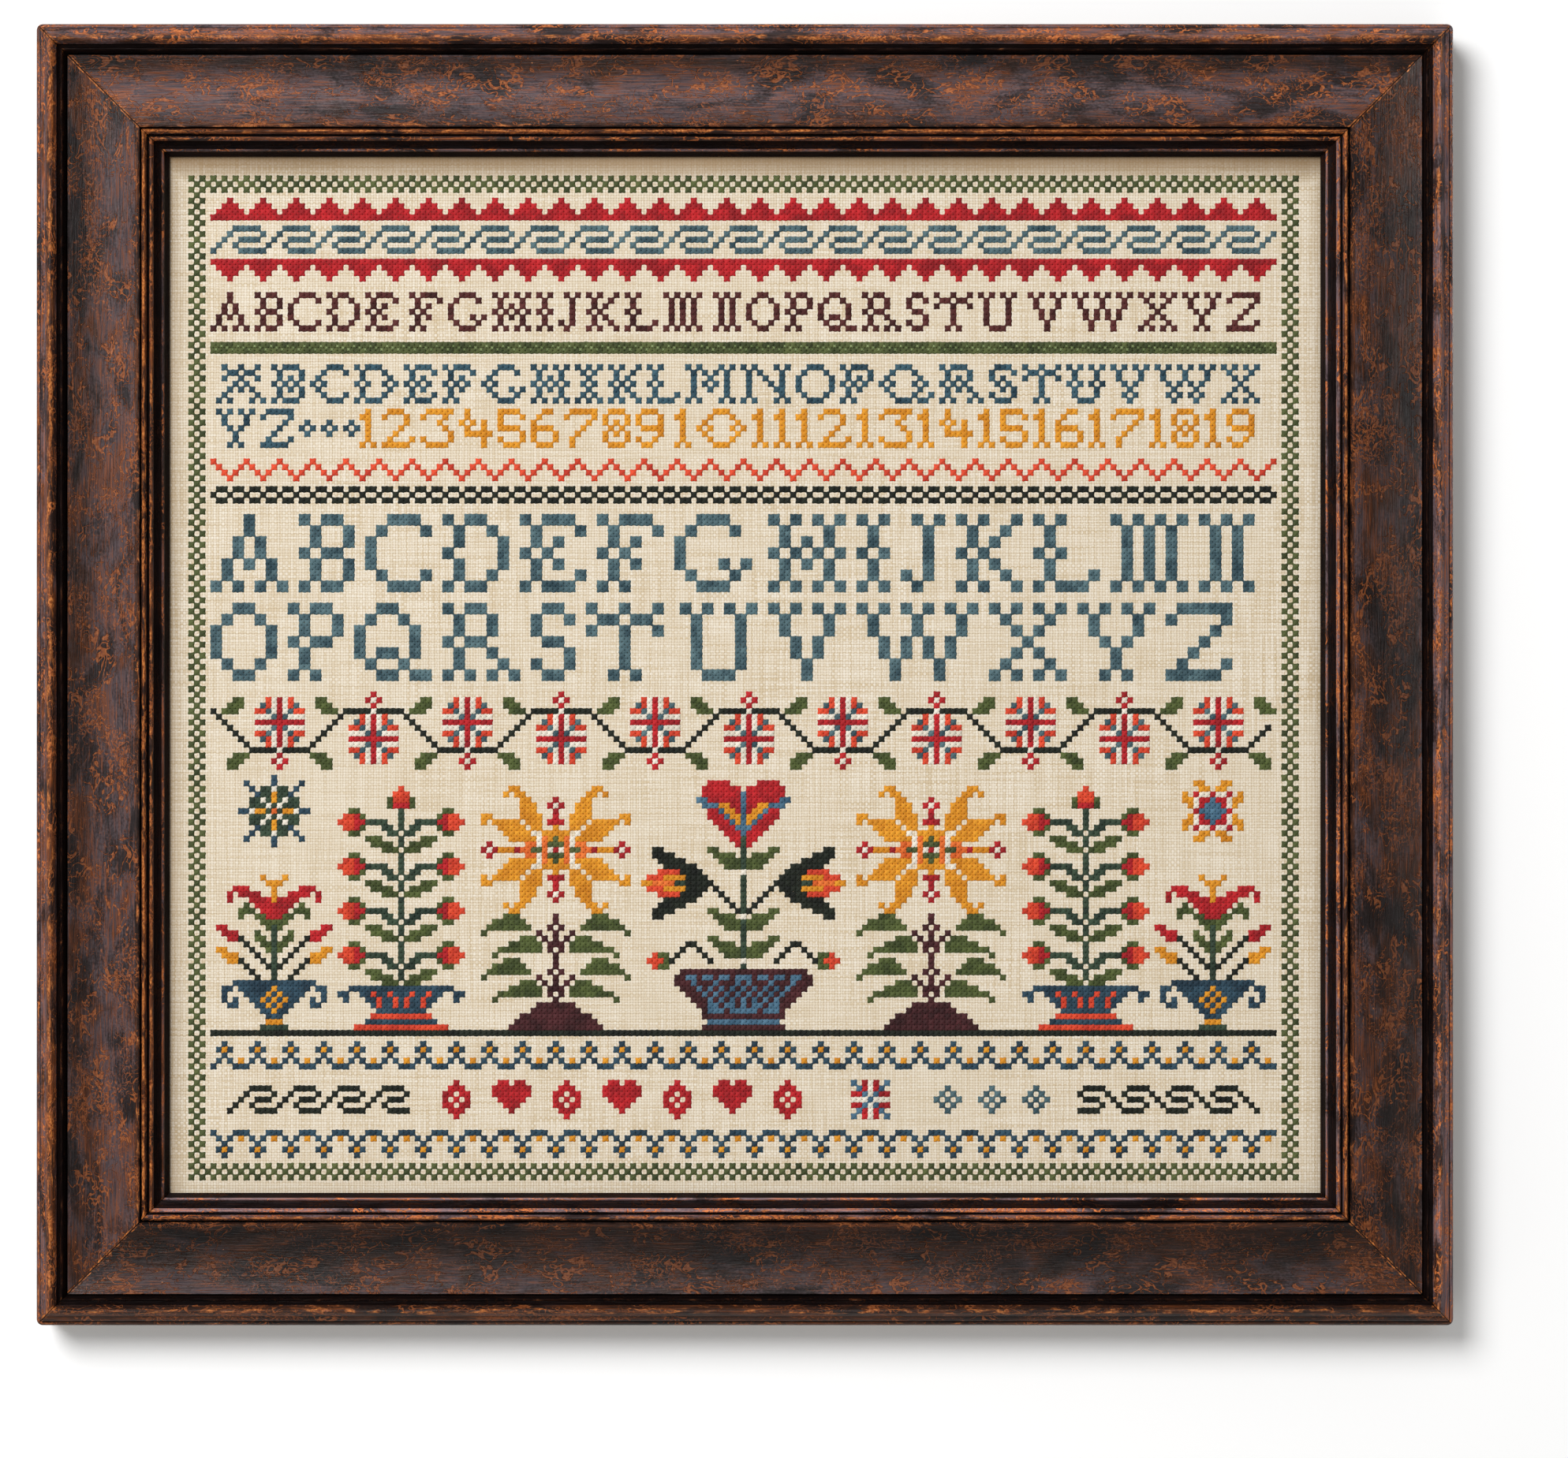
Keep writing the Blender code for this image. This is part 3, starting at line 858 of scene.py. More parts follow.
# %% Letter charts
PLAIN_CHARTS = {
    "ABCDEFG": """
        ...#... #.##. ..###. #.##.. #.###. #.###. ..###..
        ...#... .#..# .#...# .#..#. .#...# .#...# .#...#.
        ..#.#.. .#..# #..... .#...# .#.#.. .#.#.. #......
        ..#.#.. #.##. #..... #....# #.#... #.#... #......
        .#.#.#. .#..# #..... .#...# .#.#.. .#.#.. #...#.#
        .#...#. .#..# .#...# .#..#. .#...# .#.... .#...#.
        #.#.#.# #.##. ..###. #.##.. #.###. #.#... ..###..""",
    "HIJKLMN": """
        #.#.#.# #.# .#.# #.#..# #.#... #.#.#.# #.#.#
        .#...#. .#. ..#. .#..#. .#.... .#.#.#. .#.#.
        .#.#.#. .#. ..#. .#.#.. .#.... .#.#.#. .#.#.
        #.#.#.# #.# ..#. #.#... #.#... .#.#.#. .#.#.
        .#.#.#. .#. ..#. .#.#.. .#.... .#.#.#. .#.#.
        .#...#. .#. #.#. .#..#. .#...# .#.#.#. .#.#.
        #.#.#.# #.# .#.. #.#..# #.###. #.#.#.# #.#.#""",
    "OPQRSTU": """
        ..##.. #.##. ..##... #.##... .##. #..#..# #.#.#.#
        .#..#. .#..# .#..#.. .#..#.. #..# .##.##. .#...#.
        #....# .#..# #....#. .#..#.. #... #..#..# .#...#.
        #....# #.##. #....#. #.##... .##. ...#... .#...#.
        #....# .#... #.##.#. .#..#.. ...# ...#... .#...#.
        .#..#. .#... .#..#.. .#...#. #..# ...#... .#...#.
        ..##.. #.#.. ..##.## #.#.#.# .##. ..#.#.. ..###..""",
    "VWXYZ": """
        #.#.#.# #.#.#.#.#.# #.#.#.# #.#.#.# .#####
        .#...#. .#...#...#. .#...#. .#...#. #....#
        .#...#. .#...#...#. ..#.#.. .#...#. ....#.
        ..#.#.. ..#.#.#.#.. ...#... ..#.#.. ...#..
        ..#.#.. ..#.#.#.#.. ..#.#.. ...#... ..#...
        ...#... ...#...#... .#...#. ...#... .#...#
        ...#... ...#...#... #.#.#.# ..#.#.. #####.""",
    "0123456789": """
        ...###... .#. .###.. .##### .#.... ####. ..##. .##### .###. .###.
        ..#...#.. ##. #...#. #...#. .#.... #...# .#... #....# #...# #...#
        .#.....#. .#. ....#. ...#.. #.#.#. #.... #.... ....#. #.#.# #...#
        #.#...#.# .#. ...#.. ....#. .#..#. ####. ####. ...#.. .#.#. .####
        .#.....#. .#. ..#... .....# .##### ....# #...# ..#... #.#.# ....#
        ..#...#.. .#. .#...# #....# ....#. #...# #...# .#.... #...# #..#.
        ...###... #.# #####. .####. ....#. .###. .###. .#.... .###. .##..""",
}
DIAMOND_CHARTS = {
    "ABCDEFG": """
        .#..#..#. #.###. ...###. #.###... #.###. #.###. ...###..
        ..##.##.. .#...# ..#...# .#...#.. .#...# .#...# ..#...#.
        .#..#..#. .#.#.# .#..... .#....#. .#.#.. .#.#.. .#......
        ...#.#... #.#.#. #.#.... #.#..#.# #.#.#. #.#.#. #.#.....
        ..#.#.#.. .#.#.# .#..... .#....#. .#.#.. .#.#.. .#...#.#
        .#.....#. .#...# ..#...# .#...#.. .#...# .#.... ..#...#.
        #.#...#.# #.###. ...###. #.###... #.###. #.#... ...###..""",
    "IKMNOP": """
        #.#.# #.#..# #.#...#.# #.#...#.# ..###.. #.###.
        .#.#. .#..#. .#.#.#.#. .#.#...#. .#...#. .#...#
        ..#.. .#.#.. .#..#..#. .#..#..#. #.....# .#.#.#
        .#.#. #.#.#. .#.#.#.#. .#...#.#. #.....# #.#.#.
        ..#.. .#.#.. .#..#..#. .#....##. #.....# .#.#..
        .#.#. .#..#. .#.....#. .#.....#. .#...#. .#....
        #.#.# #.#..# #.#...#.# #.#...#.# ..###.. #.#...""",
    "QRSUVW": """
        ...###.... #.###... .###. #.#.#.# #.#.#.# #.#.#.#.#.#
        ..#...#... .#...#.. #...# .#...#. .#...#. .#...#...#.
        .#.....#.. .#.#.#.. #.#.. .#...#. .#...#. .#...#...#.
        #.#...#.#. #.#.#... .#.#. #.#.#.# ..#.#.. ..#.#.#.#..
        .#.....#.. .#.#.#.. ..#.# .#...#. ...#... ...#...#...
        ..#...#..# .#....#. #...# .#...#. ..#.#.. ..#.#.#.#..
        ...###.##. #.#..#.# .###. ..###.. ...#... ...#...#...""",
}


def cut_glyphs(charts):
    """Cuts blocks of letter charts into one chart for each letter."""
    glyphs = {}
    for names, block in charts.items():
        lines = [line.split() for line in block.strip().splitlines()]
        for number, name in enumerate(names):
            glyphs[name] = [line[number] for line in lines]
    return glyphs


PLAIN = cut_glyphs(PLAIN_CHARTS)
WITH_DIAMONDS = {**PLAIN, **cut_glyphs(DIAMOND_CHARTS)}


def beside(names, glyphs):
    """Several glyphs side by side, one stitch apart, as one chart."""
    return [BARE.join(line) for line in zip(*(glyphs[name] for name in names))]


def doubled(rows):
    """The same chart with each stitch as a block of two by two."""
    return ["".join(mark * 2 for mark in line) for line in rows for _ in range(2)]


def spread(words, first, last, row, sign, glyphs=PLAIN, blocks=False):
    """Works words from column first to column last, with even gaps between them."""
    charts = [beside(word, glyphs) for word in words]
    if blocks:
        charts = [doubled(rows) for rows in charts]
    room = last - first + 1 - sum(len(rows[0]) for rows in charts)
    column = first
    for number, rows in enumerate(charts):
        gap = room * number / (len(charts) - 1)
        work(rows, column + round(gap), row, sign)
        column += len(rows[0])


print(len(PLAIN), "letters and digits")

# %% Work the alphabets and numerals
ALPHABET = "ABCDEFGHIJKLMNOPQRSTUVWXYZ"
# Old alphabets often had one letter for I and J.
OLD_ALPHABET = ALPHABET.replace("J", "")
spread(ALPHABET, 4, 193, 21, "n")
spread(OLD_ALPHABET[:-2], 5, 193, 34, "t", WITH_DIAMONDS)
spread(OLD_ALPHABET[-2:], 5, 18, 42, "t", WITH_DIAMONDS)
spread([str(number) for number in range(1, 20)], 31, 192, 42, "y")
spread(ALPHABET[:14], 4, 192, 61, "a", blocks=True)
spread(ALPHABET[14:], 4, 188, 77, "a", blocks=True)
DIAMOND = [".#.", "#.#", ".#."]
for column in (20, 24, 28):
    work(DIAMOND, column, 44, "t")
print(len(chart), "stitches after the letters")

# %% [markdown]
# ## The flower meander
# A dark stem runs in and out across the cloth, and in each bend a round flower faces the middle,
# with a small cross opposite it and a leaf at each corner. Every second bend is the first turned
# upside down, so one bend is charted and then worked either way up.

# %% One bend of the meander, repeated
BEND_PITCH = 17
BEND_TOP = 93
BEND_ROWS = 14
ROUND_FLOWER = ["..cwr", ".acwr", "ccawr", "wwwar", "rrrrr"]
CROSS = [".r", "rw", ".r"]
LEAF = ["##..", "###.", ".###"]


def flipped(rows):
    return rows[::-1]


def whole(quarter):
    """A quarter mirrored downwards; work() mirrors it sideways."""
    return quarter + quarter[-2::-1]


def work_bend(middle, hangs):
    """A bend with its bar above and its flower hanging, or the same standing on its bar."""

    def put(rows, column, row, **how):
        if not FIRST <= column < LAST:
            return
        row_on_cloth = BEND_TOP + (row if hangs else BEND_ROWS - row - len(rows))
        work(rows if hangs else flipped(rows), column, row_on_cloth, **how)

    put(whole(ROUND_FLOWER), middle, 4, mirror=True)
    put(["kkkkkw"], middle, 3, mirror=True)
    put(CROSS, middle, 0, mirror=True)
    leaf_gap = 7 if hangs else 6
    put(LEAF, middle - leaf_gap - 3, leaf_gap - 6, sign="l")
    put([line[::-1] for line in LEAF], middle + leaf_gap, leaf_gap - 6, sign="l")
    for side in (-1, 1):
        for step in range(7):
            put(["k"], middle + side * (6 + step), 4 + step)


# The bends before the first and after the last add only the leaf that reaches into the band.
for number in range(-1, 12):
    work_bend(16 + BEND_PITCH * number, hangs=number % 2 == 1)
print(len(chart), "stitches after the meander")

# %% [markdown]
# ## Flowers, urns and trees
# Between the meander and the ground line stand flowers, in pairs about the middle: a star over an
# urn, a berry tree in a bowl and a gold flower on its mound, with one wide bowl of flowers between
# them. They are motifs that samplers have shared for centuries. Most are charted as a half or a
# quarter.

# %% Stars and urns
LEFT_STAR = [
    "......b",
    ".b....b",
    "..b.ddw",
    "...bddy",
    "..ddwdy",
    "..dddwd",
    "bbwyydo",
]
RIGHT_STAR = [
    "..yy..",
    "...yy.",
    "y.rwwr",
    "yywrrs",
    ".ywrss",
    "..rsss",
]
URN = [
    "........y..",
    ".........yy",
    "...rrr....y",
    "..r.rrrr..y",
    "..r...rrrry",
    ".....l.rrrr",
    "....lll.rrr",
    "....l..llrr",
    "........lll",
    "rr.......ld",
    ".rrr...l..d",
    "..rrk..ll.d",
    ".....k..lld",
    "yy....k..ld",
    ".yyy...k..d",
    "..yyk...k.d",
    ".....k...kd",
    "......k...d",
    ".......k..d",
    "...bbbbbbbb",
    ".bb.bbbbbby",
    ".b...bbbbyb",
    ".b.b..bbyby",
    "..bb...bbyb",
    "........bby",
    ".........bb",
    ".........yy",
    "........ddd",
]
work(whole(LEFT_STAR), 15, 108, mirror=True)
work(whole(RIGHT_STAR), 185, 109, mirror=True)
for middle in (15, 185):
    work(URN, middle, GROUND_ROW - len(URN), mirror=True)
print(len(chart), "stitches after the urns")

# %% Berry trees and gold flowers
TOP_BERRY = ["...c", "..cc", ".lcc", ".lrr"]
BRANCHES = [
    "..ll.......d",
    ".ccrl......d",
    "cccrrdddd..d",
    ".ccrl...dd.d",
    "..ll.....dd.",
    ".....lll...d",
    "......llll.d",
    "........lll.",
]
FOOTED_BOWL = [
    "..bbbbbbbbbb",
    "bb..bbcbbcbb",
    ".b...bbcbbcb",
    "......bcbbcb",
    ".......bbbbb",
    "......cccccc",
    ".....bbbbbbb",
    "...ccccccccc",
]
GOLD_FLOWER = [
    "......yy.......",
    ".....y.yy......",
    "........yy....r",
    "........yyy..rw",
    "........yyy...r",
    ".yy.....yyyy..r",
    ".y.yyyyy.yyy.rr",
    "....yyyyy.yy..y",
    ".....yyyyyw.yyy",
    "......yyyyywoyg",
    "..r......oowogg",
    ".rwryyyrooggowr",
]
GOLD_LEAVES = [
    ".....lll......m",
    "...llllll.....m",
    "..llllllll...m.",
    ".l.........m..m",
    "........lll.m.m",
    "......llllll.mm",
    "....llllllll.m.",
    "...l..........m",
]
MOUND = ["mmmm", "mmmmm", "mmmmmmm", "mmmmmmmm", "mmmmmmmmm"]


def stack(middle, *charts):
    """Works mirrored charts one above the next, with the last on the ground line."""
    row = GROUND_ROW - sum(len(rows) for rows in charts)
    for rows in charts:
        work(rows, middle, row, mirror=True)
        row += len(rows)


for middle in (38, 162):
    stack(middle, TOP_BERRY, *[BRANCHES] * 4, FOOTED_BOWL)
for middle in (66, 134):
    stack(middle, whole(GOLD_FLOWER), GOLD_LEAVES, GOLD_LEAVES, MOUND)
print(len(chart), "stitches after the trees")

# %% The bowl of flowers in the middle
MIDDLE = (COLUMNS - 1) // 2
HEART_FLOWER = [
    "..rrrr...",
    ".rrrrrrr.",
    ".rrrrrrrs",
    "ssrrrrrrs",
    ".sssyyrrs",
    "..rrsyyrs",
    "..rrrsyys",
    "...rrrsys",
    "....rrrss",
    ".....rrrs",
    "......rrd",
    ".......rd",
]
TULIP = [
    "..kk........",
    "..kkkk......",
    "...kkkkk....",
    "....kkkkkk..",
    "...cccckkkk.",
    ".cccyyyykkkk",
    "yyooooddkkkk",
]
LONG_LEAF = ["ll....", ".llll.", "..llll", "...lll"]
BUD = [".cll", "cccl", ".cll"]
ARCH = ["...kk...", "..k..k..", ".k....k.", "k......k"]
WIDE_BOWL = [
    ".mmmmmmmmmmmm",
    "mmssmssmssmss",
    "mmmsmmmsmmmsm",
    ".mmmsmsmsmsms",
    "..mmmsmsmsmsm",
    "...mmmsmsmsms",
    "....mmssmssms",
    ".....msssmsss",
    ".....mmmmmmmm",
    "......sssssss",
    ".....mmmmmmmm",
]


def work_pair(rows, column, row):
    """A chart left of the middle, and its mirror image right of it."""
    work(rows, column, row)
    work([line[::-1] for line in rows], 2 * MIDDLE - column - len(rows[0]) + 1, row)


work(["d"] * 23, MIDDLE, 120)
work(HEART_FLOWER, MIDDLE, 109, mirror=True)
work_pair(whole(TULIP), 82, 121)
for step in range(6):
    work_pair(["k"], 94 + step, 127 + step)
for row in (121, 132, 137):
    work_pair(LONG_LEAF, 94, row)
for row in (125, 133, 141):
    chart[MIDDLE, row] = "w"
work_pair(BUD, 83, 140)
work_pair(ARCH, 87, 138)
work(WIDE_BOWL, MIDDLE, GROUND_ROW - len(WIDE_BOWL), mirror=True)
print(len(chart), "stitches after the middle bowl")

# %% [markdown]
# ## The foot of the sampler
# Under the ground line come two rows of small flowers, one the other's mirror image, and between
# them a line of scrolls, hearts and little flowers that fills the width.

# %% The flower rows and the line between them
SMALL_FLOWERS = [
    ".b....",
    "byb...",
    ".b....",
    "b.b.y.",
    "...bbb",
]
for column in range(-1, COLUMNS, 6):
    work(SMALL_FLOWERS, column, 156)
    work(flipped(SMALL_FLOWERS), column, 172)

SHORT_SCROLL = [
    "....####.",
    "...#....#",
    "..#..###.",
    ".#..#....",
    "#....####",
]
for number in range(4):
    work_pair([line.replace("#", "k") for line in SHORT_SCROLL], 7 + 8 * number, 164)

SMALL_HEART = [".rr.rr.", "rrrrrrr", "rrrrrrr", ".rrrrr.", "..rrr..", "...r..."]
SMALL_ROSE = ["..r", ".rr", "rr.", "r.r"]
SQUARE_FLOWER = ["s.rw", ".srw", "rrsw", "wwws"]
SLATE_DIAMOND = ["..a", ".a.", "a.a"]
for number in range(7):
    middle = 48 + 10 * number
    if number % 2 == 0:
        work(whole(SMALL_ROSE), middle, 163, mirror=True)
    else:
        work(SMALL_HEART, middle - 3, 163)
work(whole(SQUARE_FLOWER), 123, 163, mirror=True)
for middle in (137, 145, 153):
    work(whole(SLATE_DIAMOND), middle, 164, mirror=True)
print(len(chart), "stitches in all")

# %% [markdown]
# ## One cross stitch
# A cross stitch is two short legs of two-ply cotton, one over the other, that dive through the cloth
# at the corners of their square. The lower leg leans one way and the upper leg the other, always in
# the same order. There are about twelve thousand stitches, so each leg is a slim four-sided form
# with four rings and a blunt point at each end: 32 triangles. A map runs along and across it for
# the cotton's ply.

# %% Build the stitch
LEG_WIDTH = 1.34 * MM
TIP_DEPTH = 0.12 * MM
LOWER_CREST = 0.28 * MM
UPPER_CREST = 0.44 * MM
# A ring's place along the leg, and its width and height as shares of the leg's own.
LEG_RINGS = ((-0.47, 0.44, 0.40), (-0.26, 1.0, 1.0), (0.26, 1.0, 1.0), (0.47, 0.44, 0.40))
# The corners of a ring: how far across each lies, and how far up.
LEG_PROFILE = ((-1.0, 0.0), (-0.52, 0.95), (0.52, 0.95), (1.0, 0.0))
# A leg is a little longer than its square's diagonal, so neighbours meet in one hole.
TIP_REACH = 1.10


def add_leg(stitch, ply, lean, crest):
    """One leg from corner to corner, facing -Y, its crest as high as asked above the cloth."""
    length = math.hypot(CELL_WIDTH, CELL_HEIGHT) * TIP_REACH
    along = Vector((CELL_WIDTH, 0.0, lean * CELL_HEIGHT)).normalized()
    across = Vector((-along.z, 0.0, along.x))
    rings, maps = [], {}
    for share, width, height in LEG_RINGS:
        ring = []
        for side, rise in LEG_PROFILE:
            spot = along * share * length + across * side * width * LEG_WIDTH / 2
            spot.y = TIP_DEPTH / 2 - (crest + TIP_DEPTH / 2) * rise * height
            vertex = stitch.verts.new(spot)
            maps[vertex] = (share * length / MM, side)
            ring.append(vertex)
        rings.append(ring)
    faces = []
    for ring, following in zip(rings, rings[1:]):
        for step in range(len(ring)):
            onward = (step + 1) % len(ring)
            faces.append((ring[step], ring[onward], following[onward], following[step]))
    for end, ring in ((-0.5, rings[0]), (0.5, rings[-1])):
        tip = stitch.verts.new(along * end * length + Vector((0.0, TIP_DEPTH, 0.0)))
        maps[tip] = (end * length / MM, 0.0)
        for step in range(len(ring)):
            faces.append((ring[step], ring[(step + 1) % len(ring)], tip))
    for corners in faces:
        face = stitch.faces.new(corners)
        face.smooth = True
        for loop in face.loops:
            loop[ply].uv = maps[loop.vert]


def make_stitch():
    """One cross stitch at the origin, to be repeated and then removed."""
    stitch = bmesh.new()
    ply = stitch.loops.layers.uv.new("ply")
    add_leg(stitch, ply, lean=-1, crest=LOWER_CREST)
    add_leg(stitch, ply, lean=1, crest=UPPER_CREST)
    bmesh.ops.recalc_face_normals(stitch, faces=stitch.faces)
    mesh = bpy.data.meshes.new("cross_stitch")
    stitch.to_mesh(mesh)
    stitch.free()
    return bpy.data.objects.new("cross_stitch", mesh)


CROSS_STITCH = make_stitch()
SCENE.collection.objects.link(CROSS_STITCH)
print("a stitch has", sum(len(face.vertices) - 2 for face in CROSS_STITCH.data.polygons), "triangles")

# %% [markdown]
# ## Cotton
# Embroidery cotton is mercerised: soft, slightly glossy, and never one flat colour. Each stitch
# draws its own shade between a dark and a light of its dye, and slow noise shifts the shade along a
# row. The two plies part down the middle of a leg, and the fine twist crosses it at a slant. Painted
# shade darkens the parting and both sides of each leg, so the lines between stitches are dark.

# %% A cotton's finish
TWIST_MM = 0.62
FULL_TURN = 2 * math.pi
# Patterns to the metre. A shade drifts over 7 mm. Single fibres are too fine to show, so the noise
# draws clumps of them, 0.4 mm wide.
SHADE_DRIFTS = 150.0
COTTON_FIBRES = 2400.0


def stranded_cotton(cotton):
    """Mercerised two-ply cotton: soft highlights from its gloss, and painted shade on each leg's sides and
    parting, dark between stitches.
    """
    material, tree, shader = new_material(f"stranded_cotton_{cotton.name}")
    place = add(tree, "ShaderNodeTexCoord").outputs["Object"]
    ply = add(tree, "ShaderNodeSeparateXYZ", {0: add(tree, "ShaderNodeUVMap", uv_map="ply")})
    fields = {
        "shade": add(tree, "ShaderNodeAttribute", attribute_name="shade").outputs["Fac"],
        "cloud": add(tree, NOISE, {"Vector": place, "Scale": SHADE_DRIFTS, "Detail": 2.0}),
        "fibre": add(tree, NOISE, {"Vector": place, "Scale": COTTON_FIBRES, "Detail": 2.0}),
        "side": add(tree, MATH, {0: ply.outputs["Y"]}, operation="ABSOLUTE"),
    }
    mixed = {"shade": 0.22, "cloud": 0.80, "fibre": 0.40}
    layers = {
        "dye": Layer(mixed, 0.42, 1.0, 1.0, cotton.light, cotton.light, "fibre"),
        # Painted shade: darker at each leg's sides, where it rounds down into the cloth, and along the
        # parting of its plies.
        "edge": Layer({"side": 1.0}, 0.60, 1.0, 0.40, "000000", "000000", "fibre"),
        "parting_shade": Layer({"side": 1.0}, 0.25, 0.0, 0.16, "000000", "000000", "fibre"),
    }
    colour, masks = lay_colours(tree, fields, linear(cotton.dark), layers)
    tree.links.new(colour.outputs[2], shader.inputs["Base Color"])

    slant = add(tree, MATH, {0: ply.outputs["Y"], 1: 0.25, 2: ply.outputs["X"]}, operation="MULTIPLY_ADD")
    twist = add(tree, MATH, {0: slant, 1: FULL_TURN / TWIST_MM}, operation="MULTIPLY")
    twist = add(tree, MATH, {0: twist}, operation="SINE")
    height = add(tree, MATH, {0: masks["parting_shade"], 1: -5.0, 2: fields["fibre"]}, operation="MULTIPLY_ADD")
    height = add(tree, MATH, {0: twist, 1: 0.25, 2: height}, operation="MULTIPLY_ADD")
    bump = add(tree, "ShaderNodeBump", {"Height": height, "Strength": 0.45, "Distance": 0.06 * MM})
    tree.links.new(bump.outputs[0], shader.inputs["Normal"])
    shader.inputs["Roughness"].default_value = 0.75
    shader.inputs["Specular IOR Level"].default_value = 0.30
    shader.inputs["Sheen Weight"].default_value = 0.03
    shader.inputs["Sheen Roughness"].default_value = 0.4
    return material


print("the cotton twists once in", TWIST_MM, "mm")

# %% [markdown]
# ## Work the sampler
# Each cotton's stitches are one point each, on the cloth's surface. A Geometry Nodes tree puts the
# cross stitch on every point, turned and sized a little at random as a hand would, gives each its
# shade, and realizes the lot. A modifier array could not scatter by a chart, and copying meshes in a
# Python loop would be slower and would hide the rule.

# %% The tree that works stitches
def stitch_tree():
    """A tree that puts a cross stitch on each point, jittered, shaded and dyed."""
    tree = bpy.data.node_groups.new("worked_stitches", "GeometryNodeTree")
    sockets = (
        ("Points", "NodeSocketGeometry"),
        ("Stitch", "NodeSocketObject"),
        ("Turn Jitter", "NodeSocketFloat"),
        ("Size Jitter", "NodeSocketFloat"),
        ("Seed", "NodeSocketInt"),
        ("Cotton", "NodeSocketMaterial"),
    )
    for name, kind in sockets:
        tree.interface.new_socket(name, in_out="INPUT", socket_type=kind)
    tree.interface.new_socket("Stitches", in_out="OUTPUT", socket_type="NodeSocketGeometry")
    given = add(tree, "NodeGroupInput").outputs

    def jitter(middle, spread_by, seed_step):
        """A random number about a middle, half as wide as spread_by each way."""
        seed = add(tree, MATH, {0: given["Seed"], 1: float(seed_step)}, operation="ADD")
        share = add(tree, "FunctionNodeRandomValue", {2: -0.5, 3: 0.5, 8: seed}, data_type="FLOAT")
        return add(tree, MATH, {0: share, 1: spread_by, 2: middle}, operation="MULTIPLY_ADD")

    size = add(tree, "GeometryNodeInputNamedAttribute", {"Name": "size"}, data_type="FLOAT")
    grown = add(tree, MATH, {0: size, 1: jitter(1.0, given["Size Jitter"], 1)}, operation="MULTIPLY")
    turned = add(tree, "ShaderNodeCombineXYZ", {"Y": jitter(0.0, given["Turn Jitter"], 2)})
    stitch = add(tree, "GeometryNodeObjectInfo", {"Object": given["Stitch"]}).outputs["Geometry"]
    placed = add(
        tree, "GeometryNodeInstanceOnPoints",
        {"Points": given["Points"], "Instance": stitch, "Rotation": turned, "Scale": grown},
    )
    shaded = add(
        tree, "GeometryNodeStoreNamedAttribute",
        {"Geometry": placed, "Name": "shade", "Value": jitter(0.5, 1.0, 3)},
        data_type="FLOAT", domain="INSTANCE",
    )
    joined = add(tree, "GeometryNodeRealizeInstances", {"Geometry": shaded})
    dyed = add(tree, "GeometryNodeSetMaterial", {"Geometry": joined, "Material": given["Cotton"]})
    add(tree, "NodeGroupOutput", {0: dyed})
    return tree


STITCH_TREE = stitch_tree()
SOCKETS = {item.name: item.identifier for item in STITCH_TREE.interface.items_tree}
print("inputs:", ", ".join(name for name in SOCKETS if name != "Stitches"))

# %% Where the stitches go
Spot = namedtuple("Spot", "column row size")
KNOT_SIZE = 0.42
KNOT_STEPS = (0.3, -0.3, 0.0)
# Knots are worked over the green stitches, so they lie higher.
KNOT_LIFT = 0.42 * MM
TURN_JITTER = math.radians(9)
SIZE_JITTER = 0.10


def spots_by_cotton():
    """The chart's stitches, sorted by cotton, with a row of small knots on the green band."""
    spots = defaultdict(list)
    for (column, row), sign in sorted(chart.items()):
        spots[sign].append(Spot(column, row, 1.0))
    between_rows = sum(GREEN_ROWS) / len(GREEN_ROWS)
    for number, column in enumerate(range(FIRST, LAST)):
        row = between_rows + KNOT_STEPS[number % len(KNOT_STEPS)]
        spots["v"].append(Spot(column + 0.5, row, KNOT_SIZE))
    return spots


def make_points(sign, spots):
    """A mesh with one loose point for each stitch of a cotton, on the cloth."""
    places = []
    for spot in spots:
        x = GRID_LEFT + (spot.column + 0.5) * CELL_WIDTH
        z = GRID_TOP - (spot.row + 0.5) * CELL_HEIGHT
        lift = KNOT_LIFT if spot.size == KNOT_SIZE else 0.0
        places.append((x, cloth_front(x, z) - lift, z))
    mesh = bpy.data.meshes.new(f"stitches_{COTTONS[sign].name}")
    mesh.from_pydata(places, [], [])
    sizes = mesh.attributes.new("size", "FLOAT", "POINT")
    sizes.data.foreach_set("value", [spot.size for spot in spots])
    return mesh


def work_stitches(sign, spots):
    """All the stitches of one cotton, as one plain mesh."""
    cotton_finish = stranded_cotton(COTTONS[sign])
    points = make_points(sign, spots)
    piece = bpy.data.objects.new(points.name, points)
    SCENE.collection.objects.link(piece)
    modifier = piece.modifiers.new("work", "NODES")
    modifier.node_group = STITCH_TREE
    settings = {
        "Stitch": CROSS_STITCH,
        "Turn Jitter": TURN_JITTER,
        "Size Jitter": SIZE_JITTER,
        "Seed": ord(sign),
        "Cotton": cotton_finish,
    }
    for name, value in settings.items():
        modifier[SOCKETS[name]] = value
    depsgraph = bpy.context.evaluated_depsgraph_get()
    mesh = bpy.data.meshes.new_from_object(piece.evaluated_get(depsgraph), depsgraph=depsgraph)
    piece.modifiers.clear()
    piece.data = mesh
    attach(piece, "root")
    return piece


for sign, spots in sorted(spots_by_cotton().items()):
    piece = work_stitches(sign, spots)
    triangles = sum(len(face.vertices) - 2 for face in piece.data.polygons)
    print(f"{piece.name}: {len(spots)} stitches, {triangles} triangles")
bpy.data.objects.remove(CROSS_STITCH, do_unlink=True)

